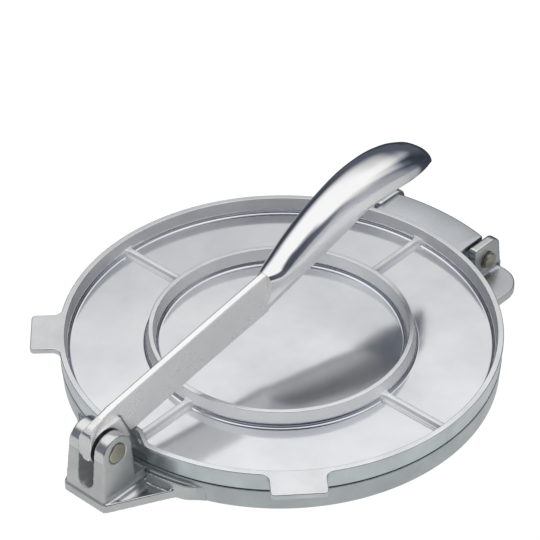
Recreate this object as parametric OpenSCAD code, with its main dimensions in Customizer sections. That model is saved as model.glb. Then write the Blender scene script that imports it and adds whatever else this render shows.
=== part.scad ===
// Tortilla press of cast aluminium: a base plate and a top plate hinged on a rod at
// the rear, and a lever that pivots in a clevis at the front and presses the top
// plate down with its cam. Millimetres, +Z up. The origin is the centre of the base
// plate's underside, the clevis is at -Y and the hinge is at +Y.

/* [Base plate] */
// Outer diameter of both plates, at the rim of the top plate
plate_d = 204; // [192:1:216]
// Thickness of the base plate, from the table to its pressing face
base_h = 10.8; // [9.5:0.1:13]
// How far the base plate's wall stands back from the top plate's rim
base_inset = 0.4; // [0.2:0.1:1]
// Draft of the outer walls, from the parting line to the free edge
wall_draft = 0.7; // [0.3:0.1:1.2]
// Thickness of the base plate's web over its hollow underside
base_web_t = 3; // [2.4:0.1:4]
// Thickness of the base plate's outer wall at the table
base_wall_t = 3.8; // [2.5:0.1:6]
// Mean diameter of the stiffening ring under the base plate
base_ring_d = 118; // [100:1:130]
// Thickness of the ring and the ribs under the base plate
base_rib_t = 3; // [2:0.1:5]
// Diameter of the hub where the ribs under the base plate meet
base_hub_d = 26; // [18:1:40]

/* [Top plate] */
// Height of the top plate, from its pressing face to its rim
top_h = 9.6; // [8:0.1:12]
// Gap between the two pressing faces when the press is closed
seam_gap = 0.5; // [0.3:0.1:1]
// Thickness of the top plate's floor
floor_t = 1.9; // [1.5:0.1:3]
// Width of the flat on top of the rim
rim_w = 2.8; // [2:0.1:4]
// Outer diameter of the raised ring, at its crest
ring_d = 122; // [100:1:140]
// Width of the ring's crest
ring_w = 2.4; // [1.8:0.1:4]
// Height of the small step on the rim and ring walls above the floor
step_h = 2; // [1:0.1:3]
// Width of that step
step_w = 0.5; // [0.3:0.1:0.9]
// Draft of the rim and ring walls
inner_draft = 0.7; // [0.3:0.1:1.2]
// Radius of the fillet where the walls meet the floor
floor_fillet_r = 0.9; // [0.5:0.1:1.4]
// Height of the four ribs above the floor
rib_h = 2.9; // [1.5:0.1:4]
// Width of a rib at its top
rib_w = 2.8; // [1.8:0.1:4.5]
// Radius of the flares at the ends of a rib
rib_flare_r = 3; // [1.5:0.1:5]

/* [Lifting tabs] */
// Distance from the rim to the outer edge of a tab
tab_reach = 12.6; // [8:0.1:18]
// Width of a tab
tab_w = 25; // [18:0.5:34]
// Thickness of a tab
tab_t = 2.5; // [1.8:0.1:4]
// Radius of a tab's corners
tab_corner_r = 2; // [1:0.1:4]
// Radius of the fillets at a tab's root
tab_root_r = 5; // [2:0.1:7]
// Angle of each tab from the clevis
tab_angle = 46; // [35:1:60]

/* [Rear hinge] */
// Distance of the hinge axis behind the rim
hinge_setback = 10; // [9:0.1:13]
// Height of the hinge axis above the base plate's pressing face
hinge_rise = 0.4; // [0:0.1:1.5]
// Diameter of the hinge rod
rod_d = 8; // [6:0.1:8.6]
// How far each end of the rod stands out of its ear
rod_proud = 2.5; // [1:0.1:4]
// Width of the tongue on the top plate
tongue_w = 52.4; // [44:0.2:60]
// Distance from the rim to the tongue's rear edge
tongue_reach = 16; // [14:0.1:18]
// Thickness of the tongue
tongue_t = 3; // [2.2:0.1:4]
// Width of each cheek that hangs from the tongue and carries the rod
cheek_w = 9; // [6:0.1:14]
// Wall of the cheek around the rod
cheek_wall = 2.25; // [2:0.05:2.4]
// Gap between the tongue and each ear
ear_gap = 1; // [0.5:0.1:2]
// Thickness of each rear ear
ear_t = 4.7; // [4:0.1:7]
// Height of the ears above the hinge axis
ear_head = 9.1; // [7.5:0.1:11]
// Reach of the ears behind the hinge axis, at the table
ear_back = 11.3; // [9:0.1:14]
// Radius of the ears' rounded rear corner
ear_corner_r = 5; // [3:0.1:7]
// Thickness of the lugs and flanges that stand on the table
lug_t = 4.5; // [3.5:0.1:6]
// Width of each rear lug, from the ear's inner face outwards
lug_w = 23; // [20:0.5:30]
// Radius of each rear lug's outer corner
lug_corner_r = 13.5; // [5:0.5:14]
// Radius of the fillet between an ear and its lug
lug_fillet_r = 4; // [2:0.1:6]

/* [Front clevis] */
// Distance of the lever's pivot in front of the rim
pivot_setback = 14.7; // [13.5:0.1:17]
// Height of the lever's pivot above the rim of the top plate
pivot_rise = 5.4; // [4:0.1:7]
// Diameter of the lever pin
pin_d = 9.5; // [7:0.1:10.5]
// How far each end of the lever pin stands out of the clevis
pin_proud = 0.3; // [0.2:0.1:2]
// Radius of the clevis's rounded head
clevis_head_r = 8.5; // [7.5:0.1:9.5]
// Thickness of each clevis ear at the top of its head
clevis_ear_top_t = 5.7; // [4.5:0.1:8]
// Thickness of each clevis ear at the table
clevis_ear_foot_t = 7.3; // [6:0.1:10]
// Reach of the clevis in front of the pivot, at the table
clevis_front = 11.4; // [10:0.1:14]
// Reach of the clevis behind the pivot, at the table
clevis_back = 9.5; // [8.6:0.1:11]
// Height of the slot's floor above the table
slot_floor = 8; // [6:0.1:9]
// How far the flange stands out beyond the clevis's sides
flange_side = 1.8; // [1:0.1:4]
// How far the flange stands out in front of the clevis
flange_front = 0.4; // [0:0.1:3]
// Radius of the flange's front corners
flange_corner_r = 3.5; // [2:0.1:6]
// Radius of the large fillet along the foot of the clevis
clevis_fillet_r = 6; // [3:0.1:8]
// Reach of each gusset beside the clevis
gusset_reach = 26.8; // [22:0.1:30]
// Distance behind the pivot at which the gusset's side starts to curve
gusset_back = 14.4; // [11:0.1:16]
// Radius of the gusset's concave curve
gusset_r = 18; // [12:0.5:20]
// Width of the lip around each gusset
gusset_lip = 1.3; // [0.8:0.1:2.5]
// Depth of the recess inside each gusset's lip
gusset_recess = 1.8; // [1:0.1:3]
// Thickness of the ledge along the plate's wall beside the clevis
ledge_t = 2.5; // [1.5:0.1:4]

/* [Lever bar] */
// Thickness of the lever's bar
bar_t = 3.4; // [2.6:0.1:5.6]
// Depth of the bar beside the pivot
bar_depth = 20.7; // [17:0.1:21]
// Depth of the bar where the grip starts
bar_depth_grip = 21.6; // [18:0.1:23]
// Length of the bar from the pivot to the start of the grip
bar_len = 105.7; // [90:0.1:120]
// How far the bar's top edge climbs above the pivot where the grip starts
bar_rise = 31.2; // [29.5:0.1:34]
// Slope of the bar's top edge beside the pivot
bar_slope_pivot = 0.165; // [0.12:0.005:0.24]
// Slope of the bar's top edge where the grip starts
bar_slope_grip = 0.145; // [0.05:0.005:0.18]
// Radius of the eye around the pin
eye_r = 9; // [8:0.1:9.5]
// Width of the eye, across the slot
eye_w = 7.4; // [5.5:0.1:9]
// Gap between the eye and each clevis ear
eye_gap = 0.9; // [0.5:0.1:1.5]
// Width of the cam, across the slot
cam_w = 7.8; // [5:0.1:8]
// Clearance between the closed cam and the pad that it presses
cam_clearance = 0.35; // [0.25:0.05:0.6]
// Length of the pad on the top plate, from the rim inwards
pad_len = 8; // [6:0.1:10]
// Width of the flat on top of the pad
pad_flat_w = 8; // [6:0.1:12]
// Width of the pad where its slopes reach the rim
pad_w = 22; // [18:0.5:32]
// Height of the pad above the rim
pad_h = 1.9; // [1.4:0.1:2.2]

/* [Grip] */
// Length of the grip, from the end of the bar to the tip
grip_len = 115; // [105:0.5:130]
// Largest width of the grip
grip_w = 26.8; // [22:0.2:30]
// Largest height of the dome above the grip's lower edge
grip_dome = 11; // [9:0.1:13]
// Wall thickness of the grip
grip_wall = 2.5; // [1.8:0.1:3]
// Squareness of the dome's section, where 2 is an ellipse
grip_square = 2.8; // [2:0.1:3.4]
// How much wider the dome's shoulders are than its lower edge where the grip starts
grip_flare = 1.8; // [0:0.1:2.2]
// Length of the rib under the grip, from the end of the bar
grip_rib_len = 84; // [70:1:90]

/* [Fits] */
// Radial clearance of a pin or rod in the part that holds it
fixed_clearance = 0.02; // [0.01:0.01:0.04]
// Radial clearance of a pin or rod in the part that turns on it
running_clearance = 0.08; // [0.05:0.01:0.1]
// Chamfer on the ends of the pin and the rod
pin_chamfer = 0.8; // [0.3:0.1:1.2]

/* [Hidden] */

$fn = 96;
// A hair of overlap that joins solids of one piece
join = 0.2;
// Height of a cutting tool that passes right through
through = 60;

plate_r = plate_d / 2;
base_r = plate_r - base_inset;
face_z = base_h + seam_gap;
floor_z = face_z + floor_t;
rim_z = face_z + top_h;
rim_inner_r = plate_r - rim_w;
ring_r = ring_d / 2;
rib_z = floor_z + rib_h;
rib_foot_w = rib_w + 1.6;

hinge_y = plate_r + hinge_setback;
hinge_z = base_h + hinge_rise;
rod_r = rod_d / 2;
cheek_r = rod_r + cheek_wall;
ear_x = tongue_w / 2 + ear_gap;
ear_outer_x = ear_x + ear_t;
ear_top_z = hinge_z + ear_head;
// The ears lean back a little towards the table
ear_lean = 1.8;
// Depth of the ears in front of the hinge axis
ear_front = 9;

pivot_y = -(plate_r + pivot_setback);
pivot_z = rim_z + pivot_rise;
pin_r = pin_d / 2;
slot_w = eye_w + 2 * eye_gap;
slot_r = slot_w / 2;
clevis_foot_x = slot_r + clevis_ear_foot_t;
clevis_head_x = slot_r + clevis_ear_top_t;
clevis_top_z = pivot_z + clevis_head_r;
// Half the clevis's width at the height of the pin
clevis_pin_x = clevis_foot_x + (clevis_head_x - clevis_foot_x) * pivot_z / clevis_top_z;
flange_x = clevis_foot_x + flange_side;
flange_y = pivot_y - clevis_front - flange_front;
pad_z = rim_z + pad_h;

// The lever is drawn from its pivot: u runs towards the grip and w runs up
bar_root = [5.7, 15.4];
nose_r = 6;
nose_front = 8.8;
nose_top = 13.4;
// The underside of the lever rises from the cam to the bar
cam_foot = [pivot_setback + 0.3, pad_z + cam_clearance - pivot_z];
cam_heel = [8.5, -3];
cam_peak = [10.8, 8.8];
cam_back = [3, 7.6];
grip_u = bar_len;

// Smoothstep between 0 and 1, and the two slope terms of a Hermite curve
function blend(t) = t * t * (3 - 2 * t);
function leave(t) = t * (1 - t) * (1 - t);
function arrive(t) = t * t * (t - 1);

// Points on an arc in degrees
function arc(cx, cy, r, from, to, n) =
    [for (i = [0:n]) let (a = from + (to - from) * i / n) [cx + r * cos(a), cy + r * sin(a)]];

// Height of the bar's top edge at a distance u from the pivot
function bar_top(u) =
    let (run = bar_len - bar_root[0], t = (u - bar_root[0]) / run)
    bar_root[1] * (1 - blend(t)) + bar_rise * blend(t)
    + run * (bar_slope_pivot * leave(t) + bar_slope_grip * arrive(t));

function bar_bottom(u) =
    let (t = u / bar_len)
    bar_top(u) - bar_depth * (1 - t) - bar_depth_grip * t;

// Stations along the grip: share of its length, share of its half width, height of
// the lower edge above the bar's top, and height of the crest as a share of the dome
grip_stations = [
    [0.00, 0.166, -17.3, 1.57],
    [0.06, 0.448, -10.3, 1.07],
    [0.14, 0.627, -4.8, 1.045],
    [0.21, 0.694, -1.8, 1.16],
    [0.27, 0.739, 0.5, 1.24],
    [0.39, 0.79, 5.2, 1.24],
    [0.52, 0.905, 9.2, 1.08],
    [0.63, 0.965, 10.6, 1.00],
    [0.75, 1.00, 10.5, 0.95],
    [0.85, 0.895, 9.9, 0.78],
    [0.92, 0.67, 8.2, 0.58],
    [0.975, 0.33, 3.8, 0.36],
    [1.00, 0.046, 1.0, 0.046]
];

// Catmull-Rom value of one column of the stations, at a share s of the length
function station_at(s) =
    len([for (row = grip_stations) if (row[0] <= s) row]) - 1;
function spline(a, b, c, d, t) =
    0.5 * (2 * b + (c - a) * t + (2 * a - 5 * b + 4 * c - d) * t * t
    + (3 * b - a - 3 * c + d) * t * t * t);
function grip_value(s, column) =
    let (
        last = len(grip_stations) - 1,
        i = min(station_at(s), last - 1),
        t = (s - grip_stations[i][0]) / (grip_stations[i + 1][0] - grip_stations[i][0])
    )
    spline(
        grip_stations[max(i - 1, 0)][column], grip_stations[i][column],
        grip_stations[i + 1][column], grip_stations[min(i + 2, last)][column], t
    );
function grip_edge(s) = bar_rise + grip_value(s, 2);
function grip_crest(s) = grip_edge(s) + grip_dome * grip_value(s, 3);

// Widening of the dome's shoulders, which dies out along the grip
flare_length = 0.04;
function shoulder(s) = grip_flare * exp(-s / flare_length);

// One arch of the grip's section, from its right edge over the crest to its left
function arch(s, half, height, edge, n) =
    [for (i = [0:n])
        let (a = 180 * i / n, c = cos(a), p = 2 / grip_square, up = pow(sin(a), p))
        [grip_u + grip_len * s, half * sign(c) * pow(abs(c), p) * (1 + shoulder(s) * up),
            edge + height * up]];

grip_rings = 30;
grip_sides = 14;

function grip_ring(s) =
    let (
        half = grip_w / 2 * grip_value(s, 1),
        edge = grip_edge(s),
        height = grip_crest(s) - edge,
        inner = arch(s, max(half - grip_wall, 0.3 * half), max(height - grip_wall, 0.3 * height),
            edge, grip_sides)
    )
    concat(arch(s, half, height, edge, grip_sides),
        [for (i = [grip_sides:-1:0]) inner[i]]);

// ---------------------------------------------------------------- base plate

module base_disc() {
    low_r = base_r - wall_draft;
    rotate_extrude() {
        polygon([
            [0, base_h - base_web_t],
            [low_r - base_wall_t, base_h - base_web_t],
            [low_r - base_wall_t, 0],
            [low_r, 0],
            [base_r, base_h],
            [0, base_h]
        ]);
    }
}

module base_underside() {
    rib_top = base_h - base_web_t + join;
    rotate_extrude() {
        translate([(base_ring_d - base_rib_t) / 2, 0]) square([base_rib_t, rib_top]);
    }
    cylinder(d = base_hub_d, h = rib_top);
    reach = base_r - wall_draft - base_wall_t + join;
    for (turn = [0, 90]) {
        rotate([0, 0, turn]) translate([-reach, -base_rib_t / 2, 0]) cube([2 * reach, base_rib_t, rib_top]);
    }
}

// Side view of a rear ear: y from the hinge axis, z from the table
module ear_outline() {
    top = ear_top_z;
    corner_y = ear_back - ear_lean - ear_corner_r;
    polygon(concat(
        [[-ear_front - join, 0], [ear_back, 0]],
        [[ear_back - ear_lean, top - ear_corner_r]],
        arc(corner_y, top - ear_corner_r, ear_corner_r, 0, 90, 12),
        [[-ear_front + 1, top], [-ear_front, top - 1]]
    ));
}

module rear_ear() {
    translate([ear_x, hinge_y, 0]) rotate([90, 0, 90]) linear_extrude(ear_t) ear_outline();
}

module rear_lug() {
    lug_back = hinge_y + ear_back - lug_fillet_r;
    outer_x = ear_x + lug_w;
    corner_x = outer_x - lug_corner_r;
    corner_y = lug_back - lug_corner_r;
    start_y = sqrt(base_r * base_r - outer_x * outer_x) - join - 2;
    linear_extrude(lug_t) {
        polygon(concat(
            [[ear_x, start_y], [outer_x, start_y]],
            arc(corner_x, corner_y, lug_corner_r, 0, 90, 16),
            [[ear_x, lug_back]]
        ));
        // Fillet from the lug's rear edge to the ear's
        difference() {
            translate([ear_outer_x - join, lug_back - join]) square(lug_fillet_r + join);
            translate([ear_outer_x + lug_fillet_r, lug_back + lug_fillet_r]) circle(r = lug_fillet_r);
        }
    }
    // Fillet along the ear's foot
    foot_front = hinge_y - ear_front - join;
    translate([ear_outer_x - join, foot_front, lug_t - join])
    difference() {
        cube([lug_fillet_r + join, lug_back - foot_front, lug_fillet_r + join]);
        translate([lug_fillet_r + join, -join, lug_fillet_r + join])
        rotate([-90, 0, 0]) cylinder(r = lug_fillet_r, h = through);
    }
}

// Side view of the clevis: y from the pivot, z from the table
module clevis_side() {
    polygon([
        [-clevis_front, 0],
        [clevis_back, 0],
        [clevis_head_r, pivot_z],
        [-clevis_head_r, pivot_z]
    ]);
    translate([0, pivot_z]) circle(r = clevis_head_r);
}

// Front view of the clevis
module clevis_front_view() {
    polygon([
        [-clevis_foot_x, 0],
        [clevis_foot_x, 0],
        [clevis_head_x, clevis_top_z],
        [-clevis_head_x, clevis_top_z]
    ]);
}

module clevis_body() {
    intersection() {
        translate([-clevis_foot_x - 1, pivot_y, 0])
        rotate([90, 0, 90]) linear_extrude(2 * clevis_foot_x + 2) clevis_side();
        translate([0, pivot_y + through / 2, 0])
        rotate([90, 0, 0]) linear_extrude(through) clevis_front_view();
    }
    // Block between the clevis and the plate's wall
    depth = pivot_setback + base_inset + wall_draft + 2;
    translate([-clevis_foot_x + 0.6, pivot_y, 0]) cube([2 * clevis_foot_x - 1.2, depth, slot_floor]);
}

module flange() {
    depth = pivot_y + pivot_setback + 4 - flange_y;
    linear_extrude(lug_t) {
        translate([-flange_x, flange_y + flange_corner_r]) square([2 * flange_x, depth - flange_corner_r]);
        translate([-flange_x + flange_corner_r, flange_y])
        square([2 * (flange_x - flange_corner_r), flange_corner_r + join]);
        for (side = [-1, 1]) {
            translate([side * (flange_x - flange_corner_r), flange_y + flange_corner_r]) circle(r = flange_corner_r);
        }
    }
}

// Plan of one gusset, with its side and its curve moved inwards by inset
module gusset_plan(inset) {
    start = [flange_x + 0.6, pivot_y - 8];
    turn = [gusset_reach, pivot_y + gusset_back];
    slope = atan2(turn[1] - start[1], turn[0] - start[0]);
    out = [sin(slope), -cos(slope)];
    centre = turn + gusset_r * out;
    from = slope + 90;
    polygon(concat(
        [[start[0] - inset * out[0], start[1] - inset * out[1]]],
        arc(centre[0], centre[1], gusset_r + inset, from, 98, 16),
        [[start[0] - inset * out[0], pivot_y + pivot_setback + 8]]
    ));
}

module gusset() {
    difference() {
        linear_extrude(lug_t) gusset_plan(0);
        difference() {
            translate([0, 0, lug_t - gusset_recess]) linear_extrude(through) gusset_plan(gusset_lip);
            cylinder(r = base_r + ledge_t, h = through);
        }
    }
    // Foot of the recess floor up to the clevis's side
    fillet_y = pivot_y - 8;
    fillet_z = lug_t - gusset_recess;
    translate([clevis_foot_x - 1, fillet_y, fillet_z - join])
    difference() {
        cube([clevis_fillet_r, pivot_setback + 8 - base_inset, clevis_fillet_r]);
        translate([clevis_fillet_r + join, -join, clevis_fillet_r + join])
        rotate([-90, 0, 0]) cylinder(r = clevis_fillet_r, h = through);
    }
}

// Ledge that runs along the plate's wall, from the clevis to the gusset's end
module wall_ledge() {
    intersection() {
        cylinder(r = base_r + ledge_t, h = slot_floor);
        translate([clevis_foot_x - 1, pivot_y, 0])
        cube([gusset_reach + gusset_r / 2 - clevis_foot_x, pivot_setback + 8, slot_floor]);
    }
}

module base_plate() {
    color("silver")
    difference() {
        union() {
            base_disc();
            base_underside();
            for (side = [0, 1]) {
                mirror([side, 0, 0]) {
                    rear_ear();
                    rear_lug();
                    gusset();
                    wall_ledge();
                }
            }
            clevis_body();
            flange();
        }
        // Slot of the clevis
        translate([0, pivot_y - clevis_front - flange_front - join, slot_floor + slot_r])
        rotate([-90, 0, 0]) cylinder(r = slot_r, h = clevis_front + flange_front + pivot_setback + join);
        translate([-slot_r, pivot_y - clevis_front - join, slot_floor + slot_r])
        cube([slot_w, clevis_front + pivot_setback + join, through]);
        // Bores for the lever pin and the hinge rod
        translate([-through / 2, pivot_y, pivot_z])
        rotate([0, 90, 0]) cylinder(r = pin_r + fixed_clearance, h = through);
        translate([-ear_outer_x - 1, hinge_y, hinge_z])
        rotate([0, 90, 0]) cylinder(r = rod_r + fixed_clearance, h = 2 * ear_outer_x + 2);
    }
}

// ----------------------------------------------------------------- top plate

// Section of the top plate from its centre to its rim
module top_section() {
    step_z = floor_z + step_h;
    fillet = floor_fillet_r;
    rim_foot = rim_inner_r - inner_draft - step_w;
    ring_out = ring_r + inner_draft;
    ring_in = ring_r - ring_w - inner_draft;
    polygon(concat(
        [[0, face_z], [plate_r - wall_draft, face_z], [plate_r, rim_z], [rim_inner_r, rim_z]],
        [[rim_inner_r - inner_draft, step_z], [rim_foot, step_z]],
        arc(rim_foot - fillet, floor_z + fillet, fillet, 0, -90, 6),
        arc(ring_out + step_w + fillet, floor_z + fillet, fillet, -90, -180, 6),
        [[ring_out + step_w, step_z], [ring_out, step_z], [ring_r, rim_z], [ring_r - ring_w, rim_z]],
        [[ring_in, step_z], [ring_in - step_w, step_z]],
        arc(ring_in - step_w - fillet, floor_z + fillet, fillet, 0, -90, 6),
        [[0, floor_z]]
    ));
}

module rib() {
    start = ring_r - ring_w / 2;
    reach = rim_inner_r + rim_w / 2 - start;
    translate([start, 0, floor_z - join])
    rotate([90, 0, 90]) linear_extrude(reach) {
        polygon([
            [-rib_foot_w / 2, 0], [rib_foot_w / 2, 0],
            [rib_w / 2, rib_h + join], [-rib_w / 2, rib_h + join]
        ]);
    }
    // Flares where the rib meets the ring and the rim
    ring_wall = ring_r + inner_draft / 2;
    rim_wall = rim_inner_r - inner_draft;
    for (end = [[ring_wall, 1], [rim_wall, -1]]) {
        for (side = [-1, 1]) {
            translate([0, 0, floor_z - join]) linear_extrude(rib_h + join) difference() {
                translate([end[0] + (end[1] - 1) / 2 * (rib_flare_r + join) - (end[1] + 1) / 2 * join,
                    side > 0 ? 0 : -rib_w / 2 - rib_flare_r])
                square([rib_flare_r + 2 * join, rib_w / 2 + rib_flare_r]);
                translate([end[0] + end[1] * (rib_flare_r + join), side * (rib_w / 2 + rib_flare_r)])
                circle(r = rib_flare_r);
            }
        }
    }
}

module lifting_tab() {
    root = plate_r - rim_w;
    edge = plate_r + tab_reach;
    half = tab_w / 2;
    inner = sqrt(plate_r * plate_r - half * half);
    translate([0, 0, rim_z - tab_t]) linear_extrude(tab_t) {
        translate([-half, -edge + tab_corner_r]) square([tab_w, edge - tab_corner_r - root]);
        translate([-half + tab_corner_r, -edge]) square([tab_w - 2 * tab_corner_r, tab_corner_r + join]);
        for (side = [-1, 1]) {
            translate([side * (half - tab_corner_r), -edge + tab_corner_r]) circle(r = tab_corner_r);
            difference() {
                translate([side > 0 ? half - join : -half - tab_root_r / 2, -inner - tab_root_r / 2])
                square([tab_root_r / 2 + join, tab_root_r]);
                translate([side * (half + tab_root_r), -inner - tab_root_r / 2 - 0.6]) circle(r = tab_root_r);
            }
        }
    }
}

// Side view of a cheek: y from the hinge axis, z from the table
module cheek_outline() {
    translate([0, hinge_z]) circle(r = cheek_r);
    polygon([
        [-cheek_r, hinge_z],
        [cheek_r, hinge_z],
        [tongue_reach - hinge_setback - 3, rim_z - tongue_t + join],
        [-cheek_r, rim_z - tongue_t + join]
    ]);
}

module tongue() {
    tongue_edge = plate_r + tongue_reach;
    bevel = 0.8;
    intersection() {
        rotate_extrude() {
            polygon([
                [rim_inner_r, rim_z - tongue_t],
                [tongue_edge - bevel, rim_z - tongue_t],
                [tongue_edge, rim_z - tongue_t + bevel],
                [tongue_edge, rim_z - bevel],
                [tongue_edge - bevel, rim_z],
                [rim_inner_r, rim_z]
            ]);
        }
        translate([-tongue_w / 2, 0, 0]) cube([tongue_w, tongue_edge + 1, through]);
    }
    for (side = [-1, 1]) {
        translate([side > 0 ? tongue_w / 2 - cheek_w : -tongue_w / 2, hinge_y, 0])
        rotate([90, 0, 90]) linear_extrude(cheek_w) cheek_outline();
    }
}

// Pad on the rim that takes the push of the cam
module cam_pad() {
    intersection() {
        cylinder(r = plate_r - wall_draft, h = through);
        translate([0, -plate_r + pad_len, 0]) rotate([90, 0, 0]) linear_extrude(pad_len + 1) {
            polygon([
                [-pad_w / 2, floor_z - join], [pad_w / 2, floor_z - join],
                [pad_w / 2, rim_z], [pad_flat_w / 2, pad_z],
                [-pad_flat_w / 2, pad_z], [-pad_w / 2, rim_z]
            ]);
        }
    }
}

module top_plate() {
    color("gainsboro")
    difference() {
        union() {
            rotate_extrude() top_section();
            for (turn = [0:90:270]) {
                rotate([0, 0, turn]) rib();
            }
            for (side = [-1, 1]) {
                rotate([0, 0, side * tab_angle]) lifting_tab();
            }
            tongue();
            cam_pad();
        }
        translate([-through, hinge_y, hinge_z])
        rotate([0, 90, 0]) cylinder(r = rod_r + running_clearance, h = 2 * through);
    }
}

// --------------------------------------------------------------------- lever

module bar_outline() {
    steps = 14;
    // The underside is level over the pad and rises behind it
    start = pivot_setback + pad_len + 1;
    polygon(concat(
        arc(nose_r - nose_front, nose_top - nose_r, nose_r, 180, 90, 8),
        [for (i = [0:steps]) let (u = bar_root[0] + (bar_len + 8 - bar_root[0]) * i / steps)
            [u, bar_top(min(u, bar_len))]],
        [for (i = [steps:-1:0]) let (u = start + (bar_len - start) * i / steps) [u, bar_bottom(u)]],
        [[start - 2.5, cam_foot[1]], cam_foot, cam_heel, [0, -eye_r / 2], [-nose_front, -eye_r / 2]]
    ));
}

// Rib that runs on under the grip, to its top inside the dome
module grip_rib_outline() {
    steps = 12;
    last = grip_rib_len / grip_len;
    from = bar_bottom(bar_len);
    polygon(concat(
        [for (i = [0:steps]) let (s = last * i / steps)
            [bar_len - join + grip_rib_len * i / steps, grip_crest(s) - grip_wall / 2]],
        [for (i = [steps:-1:0]) let (t = i / steps, s = last * t)
            [bar_len - join + grip_rib_len * t,
                from + 0.9 + (grip_edge(last) - from) * t * (0.64 + 0.36 * pow(t, 8))]]
    ));
}

module grip_shell() {
    rings = [for (i = [0:grip_rings]) grip_ring(i / grip_rings)];
    count = len(rings[0]);
    points = [for (ring = rings) for (p = ring) [p[1], p[0], p[2]]];
    sides = [for (i = [0:grip_rings - 1]) for (j = [0:count - 1])
        let (k = (j + 1) % count, a = i * count, b = (i + 1) * count)
        for (face = [[a + j, a + k, b + k], [a + j, b + k, b + j]]) face];
    caps = [for (j = [0:grip_sides - 1]) let (m = count - 1 - j)
        for (face = [[j, m, m - 1], [j, m - 1, j + 1]]) face];
    ends = grip_rings * count;
    polyhedron(
        points = points,
        faces = concat(sides, caps, [for (face = caps) [face[2] + ends, face[1] + ends, face[0] + ends]]),
        convexity = 4
    );
}

module across(width) {
    translate([-width / 2, 0, 0]) rotate([90, 0, 90]) linear_extrude(width) children();
}

module lever() {
    color("whitesmoke")
    translate([0, pivot_y, pivot_z])
    difference() {
        union() {
            across(bar_t) bar_outline();
            across(bar_t) grip_rib_outline();
            across(eye_w) circle(r = eye_r);
            across(eye_w) polygon(concat(
                [[-nose_front, 0]],
                arc(nose_r - nose_front, nose_top - nose_r - 1, nose_r, 180, 110, 8),
                [[2, 5], [0, 0]]
            ));
            across(cam_w) polygon([cam_back, cam_heel, cam_foot, cam_peak]);
            grip_shell();
        }
        across(through) circle(r = pin_r + running_clearance);
    }
}

// -------------------------------------------------------------- pin and rod

// Round bar along X with chamfered ends
module cross_pin(radius, half_length) {
    rotate([0, 90, 0]) rotate_extrude() {
        polygon([
            [0, -half_length],
            [radius - pin_chamfer, -half_length],
            [radius, -half_length + pin_chamfer],
            [radius, half_length - pin_chamfer],
            [radius - pin_chamfer, half_length],
            [0, half_length]
        ]);
    }
}

module lever_pin() {
    color("darkkhaki")
    translate([0, pivot_y, pivot_z]) cross_pin(pin_r, clevis_pin_x + pin_proud);
}

module hinge_rod() {
    color("darkkhaki")
    translate([0, hinge_y, hinge_z]) cross_pin(rod_r, ear_outer_x + rod_proud);
}

base_plate();
top_plate();
lever();
lever_pin();
hinge_rod();
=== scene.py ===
import logging
import math
from dataclasses import dataclass
from enum import Enum
from typing import Callable, Optional, Sequence, Union

import bpy
from mathutils import Matrix, Vector


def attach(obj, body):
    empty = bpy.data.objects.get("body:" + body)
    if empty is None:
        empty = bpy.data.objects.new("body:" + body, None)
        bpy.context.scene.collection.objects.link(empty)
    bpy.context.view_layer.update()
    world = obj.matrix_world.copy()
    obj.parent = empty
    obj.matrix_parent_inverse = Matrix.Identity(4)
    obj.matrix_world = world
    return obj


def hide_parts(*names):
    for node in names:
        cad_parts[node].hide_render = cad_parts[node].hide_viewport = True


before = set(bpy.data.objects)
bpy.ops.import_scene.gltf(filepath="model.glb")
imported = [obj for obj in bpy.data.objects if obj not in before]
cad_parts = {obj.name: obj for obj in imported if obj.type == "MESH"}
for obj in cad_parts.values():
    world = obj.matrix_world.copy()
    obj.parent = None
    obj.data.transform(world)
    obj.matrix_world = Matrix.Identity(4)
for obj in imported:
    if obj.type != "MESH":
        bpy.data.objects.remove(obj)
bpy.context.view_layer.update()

LOG = logging.getLogger("tortilla_press")
MM = 0.001
ROUND_STEPS = 192

Pair = tuple[float, float]
Corner = tuple[float, float, float]
Piece = bpy.types.Object
Face = bpy.types.MeshPolygon

# What several sub-assemblies share, in millimetres: the y and z of the lever pin and of the
# hinge rod, their radii, and the height of the pad under the cam.
PIVOT: Pair = (-116.7, 26.3)
HINGE: Pair = (112.0, 11.2)
PIN_RADIUS = 4.75
ROD_RADIUS = 4.0
PAD_TOP = 22.8

# Largest share of X in the normal of a face that runs round a head.
ROUND_HEAD = 0.35
# Angle in degrees over which an edge of a casting stays sharp.
CAST_CREASE = 60.0


class Axis(Enum):
    """Direction in which an outline is drawn out into a solid."""

    X = 0
    Y = 1
    Z = 2

    def place(self, across: float, up: float, depth: float) -> Vector:
        """Turns an outline's own millimetres into a point in the frame's metres.

        Args:
            across: first coordinate of the outline.
            up: second coordinate of the outline.
            depth: distance along this axis.

        Returns:
            The point in metres.
        """
        point = {
            Axis.X: (depth, across, up),
            Axis.Y: (across, depth, up),
            Axis.Z: (across, up, depth),
        }[self]
        return Vector(point) * MM


def arc(centre: Pair, radius: float, start: float, stop: float, steps: int) -> list[Pair]:
    """Lists points on an arc.

    Args:
        centre: centre of the arc.
        radius: radius of the arc.
        start: first angle in degrees.
        stop: last angle in degrees.
        steps: number of chords.

    Returns:
        The points from start to stop, both included.
    """
    turns = [math.radians(start + (stop - start) * i / steps) for i in range(steps + 1)]
    return [(centre[0] + radius * math.cos(t), centre[1] + radius * math.sin(t)) for t in turns]


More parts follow.
